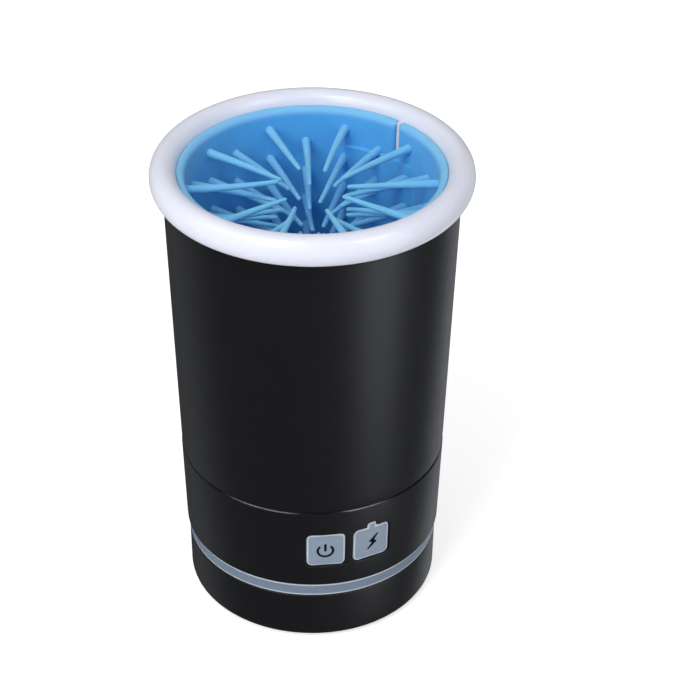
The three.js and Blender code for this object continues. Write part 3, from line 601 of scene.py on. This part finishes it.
def build_wash_cup():
    """The white cup in one piece: floor with the hub's socket, wall, rib, rolled rim and outer lip."""
    inside_top = RIM_RADIUS - 2 * RIM_HALF_WIDTH
    shell_inside = shell_high.x - WALL
    channel_top = shell_high.z + mm(0.8)
    foot = cup_radius(cup_low.z) + mm(1.6)
    lower = [
        (0, cup_low.z),
        *rounded([(0, cup_low.z), (foot, cup_low.z, mm(2)), (foot, mm(90))])[1:-1],
        (shell_inside - mm(0.7), channel_top - mm(8)),
    ]
    lip = shell_high.x + mm(0.7)
    channel = [
        (shell_inside - mm(0.7), channel_top - mm(0.4)),
        (shell_inside - mm(0.3), channel_top),
        (lip - mm(0.4), channel_top),
        (lip, channel_top - mm(0.4)),
        (lip, RIM_TOP - 2 * RIM_HALF_HEIGHT + mm(1.1)),
        (lip + mm(0.3), RIM_TOP - 2 * RIM_HALF_HEIGHT + mm(0.75)),
    ]
    boss_top = mm(72.6)
    upper = rounded(
        [
            (inside_top, RIM_TOP),
            (cup_radius(CUP_FLOOR), CUP_FLOOR, mm(2.5)),
            (mm(10.4), CUP_FLOOR, mm(1.2)),
            (mm(9.4), boss_top, mm(1.2)),
            (0, boss_top),
        ]
    )[1:]
    profile = lower + channel + rim_arc(-62, 180, 40) + upper
    cup = turned("wash_cup_body", profile, WHITE, 256)

    # The rib stands in the slit of the sleeve, so that the brush turns with the cup.
    a = math.radians(SLIT_ANGLE)
    out, across = Vector((math.cos(a), math.sin(a), 0)), Vector((-math.sin(a), math.cos(a), 0))
    rings = []
    for z in (mm(68), mm(160)):
        inner, outer, half = cup_radius(z) - RIB_REACH, cup_radius(z) + mm(0.6), RIB_HALF_WIDTH
        corners = [(inner, -half, mm(0.3)), (outer, -half), (outer, half), (inner, half, mm(0.3))]
        rings.append([tuple(out * r + across * s + Vector((0, 0, z))) for r, s in rounded(corners)])
    carve(cup, "UNION", [loft("tool", rings, WHITE)])
    socket = [spline_ring(mm(6.95), z) for z in (cup_low.z - mm(1), mm(70.6))]
    carve(cup, "DIFFERENCE", [loft("tool", socket, WHITE)])
    attach(cup, "wash_cup", "white", "wash_cup")


def spline_ring(radius, z, steps=144):
    """Outline of the drive's spline, or of its socket: a circle with six smooth lobes."""
    ring = []
    for k in range(steps):
        a = 2 * math.pi * k / steps
        r = radius + mm(0.7) * math.cos(6 * (a + math.pi / 2))
        ring.append((r * math.cos(a), r * math.sin(a), z))
    return ring


# ---------------------------------------------------------------- brush sleeve

SLEEVE_WALL = mm(2.3)
LAP_TOP = mm(147.6)  # of the panel that laps the slit on the inside
LAP_DEPTH = mm(1.4)  # how far it stands out of the wall
LAP_EDGE = mm(0.45)
LAP_ENDS = 35, 73.5  # degrees from +X
LAP_FADE = 4  # degrees over which it thins out at its first end
LAP_ROUND = 0.75  # degrees over which its upright edges round off


def build_sleeve():
    """A slit tube with a rounded top edge and rounded ends at the slit."""
    low, top = sleeve_low.z, sleeve_high.z
    half_slit = math.degrees(SLIT_WIDTH / 2 / sleeve_radius(top))
    first, last = SLIT_ANGLE + half_slit, SLIT_ANGLE + 360 - half_slit
    end_round = math.degrees(SLEEVE_WALL * 0.5 / sleeve_radius(top))
    columns = [first + end_round * (1 - math.cos(math.pi / 2 * k / 6)) for k in range(6)]
    columns += [first + end_round + (last - first - 2 * end_round) * k / 300 for k in range(301)]
    columns += [first + last - c for c in reversed(columns[:6])]
    heights = [low + (top - mm(2.3) - low) * k / 60 for k in range(61)]
    rings = []
    for angle in columns:
        from_end = min(angle - first, last - angle)
        share = min(from_end / end_round, 1.0)
        thick = SLEEVE_WALL * max(math.sqrt(1 - (1 - share) ** 2), 0.12)
        middle = SLEEVE_WALL / 2
        ca, sa = math.cos(math.radians(angle)), math.sin(math.radians(angle))
        ring = []

        def place(depth, z):
            r = sleeve_radius(z) - depth
            ring.append((r * ca, r * sa, z))

        outer, inner = middle - thick / 2, middle + thick / 2
        for z in (low, low + (top - low) * 0.5, top - mm(1.6), top - mm(0.3)):
            place(outer - mm(0.22) * share, z)
        place(outer, top)
        for k in range(9):
            t = math.pi / 2 * k / 8
            across = thick * 0.72
            place(inner - across * (1 - math.sin(t)), top - mm(2.1) * (1 - math.cos(t)))
        for z in reversed(heights):
            place(inner, z)
        rings.append(ring)
    sleeve = loft("brush_sleeve_wall", rings, BLUE, 50)
    attach(sleeve, "brush", "blue_silicone", "brush_sleeve")


def build_lap_panel():
    """A curved slab that laps the slit, with its face in front of the sleeve's wall and its back in it."""
    low = sleeve_low.z
    start, end = LAP_ENDS
    steps = 60
    rings = []
    for k in range(steps + 13):
        # the first and last six rings round the panel's upright edges
        if k < 6:
            t = math.pi / 2 * k / 6
            angle, share = start + LAP_ROUND * (1 - math.cos(t)), math.sin(t)
        elif k > steps + 6:
            t = math.pi / 2 * (steps + 12 - k) / 6
            angle, share = end - LAP_ROUND * (1 - math.cos(t)), math.sin(t)
        else:
            angle, share = start + LAP_ROUND + (end - start - 2 * LAP_ROUND) * (k - 6) / steps, 1.0
        ca, sa = math.cos(math.radians(angle)), math.sin(math.radians(angle))
        ease = min((angle - start) / LAP_FADE, 1.0)
        ease = 0.15 + 0.85 * ease * ease * (3 - 2 * ease)
        outer = SLEEVE_WALL - mm(0.4)
        face = SLEEVE_WALL + LAP_DEPTH * ease - LAP_EDGE * (1 - share)
        edge = min(LAP_EDGE, 0.6 * (face - outer))
        section = [(outer, low), (outer, LAP_TOP)]
        for j in range(7):
            t = math.pi / 2 * j / 6
            section.append((face - edge * (1 - math.sin(t)), LAP_TOP - edge * (1 - math.cos(t))))
        section += [(face, LAP_TOP - (LAP_TOP - low) * j / 30 - edge) for j in range(1, 30)]
        section.append((face, low))
        rings.append([((sleeve_radius(z) - d) * ca, (sleeve_radius(z) - d) * sa, z) for d, z in section])
    attach(loft("brush_lap_panel", rings, BLUE, 50), "brush", "blue_silicone")


BRISTLE_ROWS, BRISTLES_PER_ROW = 15, 10
TOP_ROW, ROW_PITCH = mm(153.4), mm(5.35)
ROW_STARTS = 2.5, 21  # degrees from +X of the first bristle in even and in odd rows
BRISTLE_ROOT, BRISTLE_TIP = mm(1.48), mm(0.68)  # radius
BRISTLE_SIDES = 14
# How far along a bristle its rings lie, as shares of its length.
STATIONS = 0, 0.02, 0.04, 0.06, 0.09, 0.14, 0.22, 0.34, 0.48, 0.62, 0.76, 0.88, 0.96
# Bristles bent by handling: (row, place) to degrees turned, and mm that the tip sways and droops.
BENT = {
    (0, 5): (0, -2.6, -0.8),
    (0, 7): (-1.8, -2.0, 1.5),
    (0, 8): (-1.8, 0.8, 2.2),
    (1, 7): (0, 1.5, 5.5),
    (3, 2): (0, 0.3, -1.6),
    (5, 2): (0, -0.9, -3.6),
}


def bristle_rings(angle, z, sway, droop):
    """A tapered bristle: flared root in the wall, slight droop and sway, round tip near the clear hole."""
    root = sleeve_radius(z) - SLEEVE_WALL + mm(1.2)
    length = root - HOLE_RADIUS + random.uniform(-mm(0.6), mm(1.0))
    a = math.radians(angle)
    out, side = Vector((math.cos(a), math.sin(a), 0)), Vector((-math.sin(a), math.cos(a), 0))
    up = Vector((0, 0, 1))

    def spine(s):
        return out * (root - length * s) + side * sway * s * s + up * (z - droop * s * s)

    def width(s):
        flare = mm(0.45) * math.exp(-(s * length) / mm(0.8))
        return BRISTLE_ROOT + (BRISTLE_TIP - BRISTLE_ROOT) * s + flare

    rings = [(spine(s), width(s)) for s in STATIONS]
    tip, end = width(1.0), spine(1.0)
    direction = (end - spine(STATIONS[-1])).normalized()
    for t in (0.0, 0.35, 0.7, 1.0, 1.25, 1.45):
        rings.append((end + direction * tip * (math.sin(t) - 1), tip * math.cos(t)))
    turns = [2 * math.pi * k / BRISTLE_SIDES for k in range(BRISTLE_SIDES)]
    return [[tuple(p + side * w * math.cos(b) + up * w * math.sin(b)) for b in turns] for p, w in rings]


def build_bristles():
    """Rows of bristles, every other row turned by about half a step, all in one piece."""
    verts, faces = [], []
    for row in range(BRISTLE_ROWS):
        for k in range(BRISTLES_PER_ROW):
            sway, droop = random.uniform(-0.9, 0.9), random.uniform(-0.2, 1.8)
            turn, sway, droop = BENT.get((row, k), (0, sway, droop))
            angle = ROW_STARTS[row % 2] + 360 // BRISTLES_PER_ROW * k + turn
            rings = bristle_rings(angle, TOP_ROW - ROW_PITCH * row, mm(sway), mm(droop))
            base, count = len(verts), len(rings[0])
            verts += [p for ring in rings for p in ring]
            for i in range(len(rings) - 1):
                for j in range(count):
                    n = (j + 1) % count
                    low, high = base + i * count, base + (i + 1) * count
                    faces.append([low + j, low + n, high + n, high + j])
            faces.append([base + j for j in range(count)])
            faces.append([base + (len(rings) - 1) * count + j for j in range(count)])
    bristles = add_object("brush_bristles", verts, faces, BRISTLE, 60)
    attach(bristles, "brush", "blue_silicone")


# ---------------------------------------------------------------- black body


def build_shell():
    """The tapered tube under the rim, with a flange and three screw bosses inside its foot."""
    low, top = SEAM, shell_high.z
    e = mm(0.5)
    flange, flange_top = mm(34.6), mm(58.4)  # inside radius, and upper face
    inside_top = body_radius(top) - WALL
    profile = rounded(
        [
            (flange, low, mm(0.2)),
            (body_radius(low) - mm(0.12), low, mm(0.15)),
            (body_radius(low + mm(4)), low + mm(4)),
            (body_radius(top), top, e),
            (inside_top, top, e),
            (body_radius(flange_top) - WALL, flange_top, mm(1)),
            (flange, flange_top, mm(0.4)),
        ]
    )
    shell = turned("shell_tube", profile, BLACK, 256)
    bosses = [post(mm(3.1), mm(57.6), mm(60.7), *polar(mm(37.2), a)) for a in (62, 165, 255)]
    carve(shell, "UNION", bosses)
    attach(shell, "housing", "black", "outer_shell")


def build_housing():
    """The band under the seam, with its top plate and the windows of the key, the lens and the port."""
    low, top = HOUSING_BOTTOM, HOUSING_TOP
    groove_in, groove_out, groove_floor = mm(40.4), mm(42), mm(54.15)  # for the seal
    well = mm(9.2)  # radius of the block round the bearing
    port = {"angle": PLUG["angle"], "z": PLUG["z"], "width": mm(9), "height": mm(3.4), "corner": mm(1.6)}
    profile = rounded(
        [
            (0, mm(48.6)),
            (well, mm(48.6), mm(0.3)),
            (well, DECK, mm(0.8)),
            (body_radius(DECK) - WALL, DECK, mm(0.8)),
            (body_radius(low) - WALL, low, mm(0.2)),
            (body_radius(low) + mm(0.1), low, mm(0.25)),
            (body_radius(top) + mm(0.12), top - EDGE, mm(0.03)),
            (body_radius(top) + mm(0.12) - EDGE, top, mm(0.03)),
            (groove_out, top, mm(0.15)),
            (groove_out, groove_floor, mm(0.15)),
            (groove_in, groove_floor, mm(0.15)),
            (groove_in, top, mm(0.2)),
            (well, top, mm(0.4)),
            (well, mm(58), mm(0.5)),
            (0, mm(58)),
        ]
    )
    housing = turned("housing_band", profile, BAND, 256)
    tools = [
        window_tool(POWER_KEY, plate_outline, WINDOW_GAP, WINDOW_LIP, mm(7)),
        window_tool(CHARGE_LENS, battery_outline, WINDOW_GAP, WINDOW_LIP, mm(7)),
        window_tool(PLUG, plate_outline, WINDOW_GAP, mm(0.2), mm(1.5)),
        window_tool(port, plate_outline, WINDOW_GAP, mm(0.1), mm(7)),
        post(mm(6.65), mm(50.1), mm(59)),  # seat of the bearing and its seal
        post(mm(3.1), mm(45), mm(59)),  # bore for the shaft
    ]
    carve(housing, "DIFFERENCE", tools)
    attach(housing, "housing", "black", "base_housing")


def build_key_and_lens():
    """The frosted key, and the lens in the outline of a battery."""
    back = mm(3.4)  # depth of their backs
    key = pad("power_key_cap", POWER_KEY, plate_outline, KEY_RECESS, back, mm(0.55), FROSTED)
    attach(key, "power_key", "frosted", "power_button")
    lens = pad("battery_lens_cap", CHARGE_LENS, battery_outline, KEY_RECESS, back, mm(0.45), FROSTED)
    attach(lens, "housing", "frosted", "charge_lens")


def build_symbols():
    """The power sign, an open ring with a bar in its gap, and the charge sign, a bolt."""
    x, y = -mm(0.22), -mm(0.15)  # the ring's middle, from the key's
    radius, squash, half = mm(2.58), 0.94, mm(0.4)  # half is half the line's width
    gap, steps = 42, 40  # degrees from the top to each end of the ring
    arc = [math.radians(90 + gap + (360 - 2 * gap) * k / steps) for k in range(steps + 1)]
    outer, inner = [
        [(x + r * math.cos(a), y + squash * r * math.sin(a)) for a in arc]
        for r in (radius + half, radius - half)
    ]
    low, high = y - mm(0.2), y + mm(2.85)
    left, right, e = x - half, x + half, half * 0.6
    bar = rounded([(left, low, e), (right, low, e), (right, high, e), (left, high, e)], 4)
    power = [outer + inner[::-1], bar]
    sign = inlay("power_symbol", POWER_KEY, power, KEY_RECESS, SYMBOL_THICKNESS, PRINT)
    attach(sign, "power_key", "frosted")

    corners = [(2.1, 3.3), (-1.1, 0.5), (0.15, -0.25), (-1.6, -2.6)]
    corners += [(-1.2, -2.9), (1.98, -0.2), (0.95, 0.75), (2.5, 3.05)]
    bolt = [(mm(u), mm(v)) for u, v in corners]
    sign = inlay("charge_symbol", CHARGE_LENS, [bolt], KEY_RECESS, SYMBOL_THICKNESS, PRINT)
    attach(sign, "housing", "frosted")


def build_light_ring():
    """The frosted ring, with its face a little under the surface of the body."""
    low, high = ring_low.z, ring_high.z
    inner = mm(40.4)
    e = mm(0.45)  # rounding of its two outer edges
    profile = [(inner, low)]
    # 0 on the rounded edges, where the frosted material paints a highlight; 1 on the ring's face
    shades = [0.0]
    for k in range(7):
        t = math.pi / 2 * k / 6
        r = body_radius(low) - RING_RECESS - e + e * math.sin(t)
        profile.append((r, low + e - e * math.cos(t)))
        shades.append(0.0)
    for share in (0.12, 0.2, 0.35, 0.5, 0.65, 0.8, 0.88):
        z = low + (high - low) * share
        profile.append((body_radius(z) - RING_RECESS, z))
        shades.append(0.3 if share in (0.12, 0.88) else 1.0)
    for k in range(7):
        t = math.pi / 2 * k / 6
        r = body_radius(high) - RING_RECESS - e + e * math.cos(t)
        profile.append((r, high - e + e * math.sin(t)))
        shades.append(0.0)
    profile.append((inner, high))
    shades.append(0.0)
    segments = 256
    ring = turned("light_ring_lens", profile, RING, segments)
    store_shade(ring, [s for s in shades for _ in range(segments)])
    attach(ring, "housing", "frosted", "light_ring")


def middle_of(node):
    """Middle (x, y) of a node, seen from above."""
    a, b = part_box(node)
    return (a.x + b.x) / 2, (a.y + b.y) / 2


def build_cover():
    """The bottom band and floor, with a hole for each screw and a recess for each foot."""
    low, top = cover_low.z, cover_high.z
    round_edge = mm(3.4)
    floor_top = low + mm(2.2)
    profile = rounded(
        [
            (0, low),
            (body_radius(low) - mm(0.1), low, round_edge),
            (body_radius(top) - mm(0.45), top, mm(0.3)),
            (body_radius(top) - WALL, top, mm(0.2)),
            (body_radius(floor_top) - WALL, floor_top, mm(2)),
            (0, floor_top),
        ],
        8,
    )
    cover = turned("cover_shell", profile, BLACK, 256)
    tools = []
    for n in range(1, 5):
        tools.append(post(mm(2.9), -mm(1), mm(4.6), *middle_of(f"cover_screw_{n}")))
        tools.append(post(mm(4.8), -mm(1), low + mm(0.8), *middle_of(f"foot_pad_{n}")))
    carve(cover, "DIFFERENCE", tools)
    attach(cover, "housing", "black", "base_cover")


def build_feet():
    """Rubber discs with a rounded edge and a shallow ring groove underneath."""
    for n in range(1, 5):
        a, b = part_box(f"foot_pad_{n}")
        r, high, groove = (b.x - a.x) / 2, b.z, mm(0.3)
        corners = [(0, 0), (r * 0.3, 0, mm(0.1)), (r * 0.34, groove), (r * 0.44, groove)]
        corners += [(r * 0.48, 0, mm(0.1)), (r * 0.9, 0, mm(0.4)), (r, mm(0.8), mm(0.2))]
        corners += [(r, high, mm(0.2)), (0, high)]
        foot = turned(f"foot_disc_{n}", rounded(corners, 3), RUBBER, 64)
        foot.location = (*middle_of(f"foot_pad_{n}"), 0)
        attach(foot, "housing", "black_rubber", f"foot_pad_{n}")


def build_plug():
    """The port's plug: a cap flush with the body, the tongue that fills the port, and four grip ribs."""
    recess = mm(0.1)
    plug = pad("port_plug_cap", PLUG, plate_outline, recess, mm(1.3), mm(0.5), RUBBER)
    attach(plug, "port_plug", "black_rubber", "port_plug")
    spec = {"angle": PLUG["angle"], "z": PLUG["z"], "width": mm(7.4), "height": mm(1.7), "corner": mm(0.8)}
    tongue = pad("port_plug_tongue", spec, plate_outline, mm(1.2), mm(5.2), mm(0.2), RUBBER)
    attach(tongue, "port_plug", "black_rubber")
    ribs = []
    half, reach = mm(0.2), mm(1.8)
    for u in (-mm(4.6), -mm(3.6), mm(3.6), mm(4.6)):
        ribs.append([(u - half, -reach), (u + half, -reach), (u + half, reach), (u - half, reach)])
    grip = inlay("port_plug_ribs", PLUG, ribs, recess, mm(0.35), RUBBER)
    attach(grip, "port_plug", "black_rubber")


def build_hub():
    """The skirt over the bearing, the spline that the wash cup sits on, and the seat of its screw."""
    low, high = hub_low.z, hub_high.z
    skirt = rounded(
        [
            (mm(10.2), low, mm(0.3)),
            (mm(12.4), low, mm(0.4)),
            (mm(12.4), mm(61), mm(0.6)),
            (mm(5), mm(61)),
            (mm(5), mm(58.9)),
            (mm(10.2), mm(58.9), mm(0.5)),
        ]
    )
    hub = turned("hub_skirt", skirt, NYLON, 128)
    radius, e = mm(6.6), mm(1.2)
    rings = [spline_ring(radius, z) for z in (mm(59.2), high - e)]
    for k in range(1, 7):
        t = math.pi / 2 * k / 6
        rings.append(spline_ring(radius - e * (1 - math.cos(t)), high - e + e * math.sin(t)))
    carve(hub, "UNION", [loft("tool", rings, NYLON)])
    carve(hub, "DIFFERENCE", [post(mm(2.6), mm(55), mm(67)), post(mm(3.4), mm(66.2), mm(72))])
    attach(hub, "drive", "nylon", "drive_hub")


def cross(reach, half, z):
    """Outline of a cross recess at a height."""
    a, b = reach, half
    points = [(a, -b), (a, b), (b, b), (b, a), (-b, a), (-b, b)]
    points += [(-x, -y) for x, y in points]
    return [(x, y, z) for x, y in points]


def build_screws():
    """The screws that show: the hub's from above, and the cover's from below."""
    for name in ["hub_screw"] + [f"cover_screw_{n}" for n in range(1, 5)]:
        low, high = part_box(name)
        middle, length = (low + high) / 2, high.z - low.z
        head = (high.x - low.x) / 2
        crown, shank, pitch = head * 0.68, head * 0.46, mm(0.8)
        core = shank * 0.82
        profile = [(0, -length), (shank * 0.4, -length + mm(0.3))]
        z = -length + mm(1)
        while z < -crown - mm(1.2):
            profile += [(core, z), (shank, z + mm(0.25)), (core, z + mm(0.5))]
            z += pitch
        profile += [(core, -crown), (head * 0.96, -crown), (head, -crown * 0.9), (head, -crown * 0.5)]
        for k in range(1, 9):
            t = math.pi / 2 * k / 8
            inward = 1 if k < 8 else 0.98
            r = head * (1 - 0.55 * (1 - math.cos(t))) * inward
            profile.append((r, -crown * 0.5 * (1 - math.sin(t))))
        profile.append((0, 0))
        screw = turned(name + "_cross", profile, STEEL, 64, 40)
        recess = [cross(head * 0.52, head * 0.11, mm(0.2)), cross(head * 0.3, head * 0.08, -crown * 0.75)]
        carve(screw, "DIFFERENCE", [loft("tool", recess, STEEL)])
        place = Matrix.Translation((middle.x, middle.y, high.z))
        if name != "hub_screw":
            place = Matrix.Translation((middle.x, middle.y, low.z)) @ Matrix.Rotation(math.pi, 4, "X")
        screw.data.transform(place)
        attach(screw, "drive" if name == "hub_screw" else "housing", "steel", name)


# ---------------------------------------------------------------- studio

FRONT_LIGHT, BACK_LIGHT = 0.84, 0.12  # soft light of the room, in front of the cup and behind it
REFLECTED_ROOM = 0.1  # how bright the room looks in a gloss
FLOOR_GLOW = 0.62  # brings the floor up to the white of the background, for the camera only
SHEEN_TINT = (0.9, 0.93, 1.0)
LIGHT_TARGET = Vector((0, 0, 0.09))


def build_world():
    """A room that is white to the camera, dark in a gloss, and else brighter in front than behind."""
    world = bpy.data.worlds.new("studio")
    bpy.context.scene.world = world
    world.use_nodes = True
    tree = world.node_tree
    tree.nodes.clear()
    link = tree.links.new

    def background(colour, strength):
        node = tree.nodes.new("ShaderNodeBackground")
        node.inputs["Color"].default_value = (*colour, 1)
        node.inputs["Strength"].default_value = strength
        return node

    def choose(ray, first, second):
        node = tree.nodes.new("ShaderNodeMixShader")
        link(path.outputs[ray], node.inputs["Fac"])
        link(first.outputs[0], node.inputs[1])
        link(second.outputs[0], node.inputs[2])
        return node

    path = tree.nodes.new("ShaderNodeLightPath")
    place = tree.nodes.new("ShaderNodeTexCoord")
    parts = tree.nodes.new("ShaderNodeSeparateXYZ")
    slope = tree.nodes.new("ShaderNodeMapRange")
    link(place.outputs["Generated"], parts.inputs[0])
    link(parts.outputs["Y"], slope.inputs["Value"])
    ends = {"From Min": -1, "From Max": 1, "To Min": FRONT_LIGHT, "To Max": BACK_LIGHT}
    for key, value in ends.items():
        slope.inputs[key].default_value = value
    soft = background((1, 1, 1), 1)
    link(slope.outputs[0], soft.inputs["Strength"])
    unseen = choose("Is Glossy Ray", soft, background((0.9, 0.95, 1), REFLECTED_ROOM))
    room = choose("Is Camera Ray", unseen, background((1, 1, 1), 1))
    link(room.outputs[0], tree.nodes.new("ShaderNodeOutputWorld").inputs["Surface"])


def softbox(name, azimuth, elevation, distance, width, height, power, sheen_only=False):
    """An area light aimed at the cup's middle. Its azimuth is in degrees to the right of the front.

    A sheen_only light shows as a band on glossy surfaces, and lights nothing else.
    """
    light = bpy.data.lights.new(name, "AREA")
    light.shape = "RECTANGLE"
    light.size, light.size_y = width, height
    light.energy = power
    obj = bpy.data.objects.new(name, light)
    bpy.context.scene.collection.objects.link(obj)
    a, e = math.radians(azimuth), math.radians(elevation)
    away = Vector((math.sin(a) * math.cos(e), -math.cos(a) * math.cos(e), math.sin(e)))
    obj.location = LIGHT_TARGET + away * distance
    obj.rotation_euler = (-away).to_track_quat("-Z", "Y").to_euler()
    obj.visible_camera = False
    if sheen_only:
        obj.visible_diffuse = False
        light.color = SHEEN_TINT


def build_studio():
    """The pale floor, the room and the lights."""
    n = Nodes("pale_floor")
    tone = n.ramp(n.noise(3, 2), [(0.3, (0.86, 0.86, 0.87)), (0.7, (0.9, 0.9, 0.91))])
    seen = n.add("ShaderNodeLightPath").outputs["Is Camera Ray"]
    n.set(Base_Color=tone, Roughness=0.9, Specular_IOR_Level=0.1)
    n.set(Emission_Color=(1, 1, 1, 1), Emission_Strength=n.span(seen, 0, FLOOR_GLOW))
    side = 6.0
    corners = [(-side, -side, 0), (side, -side, 0), (side, side, 0), (-side, side, 0)]
    floor = add_object("floor", corners, [[0, 1, 2, 3]], n.material)
    floor.visible_glossy = False
    floor.visible_shadow = False

    build_world()
    softbox("top_box", -30, 62, 0.85, 0.3, 0.22, 1.85)
    softbox("left_window", -30, 36, 1.0, 0.36, 0.42, 2.2)
    softbox("left_edge", -66, 46, 1.0, 0.5, 0.3, 2.3, sheen_only=True)
    softbox("right_edge", 49, 51, 1.0, 0.42, 0.3, 2.2, sheen_only=True)
    softbox("right_strip", 52, 6, 0.9, 0.5, 1.62, 4.9, sheen_only=True)
    softbox("rear_right_strip", 138, -8, 0.9, 0.5, 1.8, 1.75, sheen_only=True)
    softbox("left_strip", -114, -8, 0.9, 0.7, 1.8, 0.7, sheen_only=True)


def build_camera():
    """The photograph's viewpoint, in front of the cup, with the cup a little left of the middle."""
    elevation = 33.93
    camera = bpy.data.objects.new("camera", bpy.data.cameras.new("camera"))
    bpy.context.scene.collection.objects.link(camera)
    camera.data.sensor_width = 36
    camera.data.lens = 114.0
    camera.data.shift_x = 0.0401
    camera.location = (0, -0.59723, 0.49642)
    camera.rotation_euler = (math.radians(90 - elevation), 0, 0)
    camera.data.clip_start = 0.01
    bpy.context.scene.camera = camera


# ---------------------------------------------------------------- build

dress_cad_nodes()
build_wash_cup()
build_sleeve()
build_lap_panel()
build_bristles()
build_shell()
build_housing()
build_key_and_lens()
build_symbols()
build_light_ring()
build_cover()
build_feet()
build_plug()
build_hub()
build_screws()
build_studio()
build_camera()
bpy.context.scene.view_settings.view_transform = "Standard"
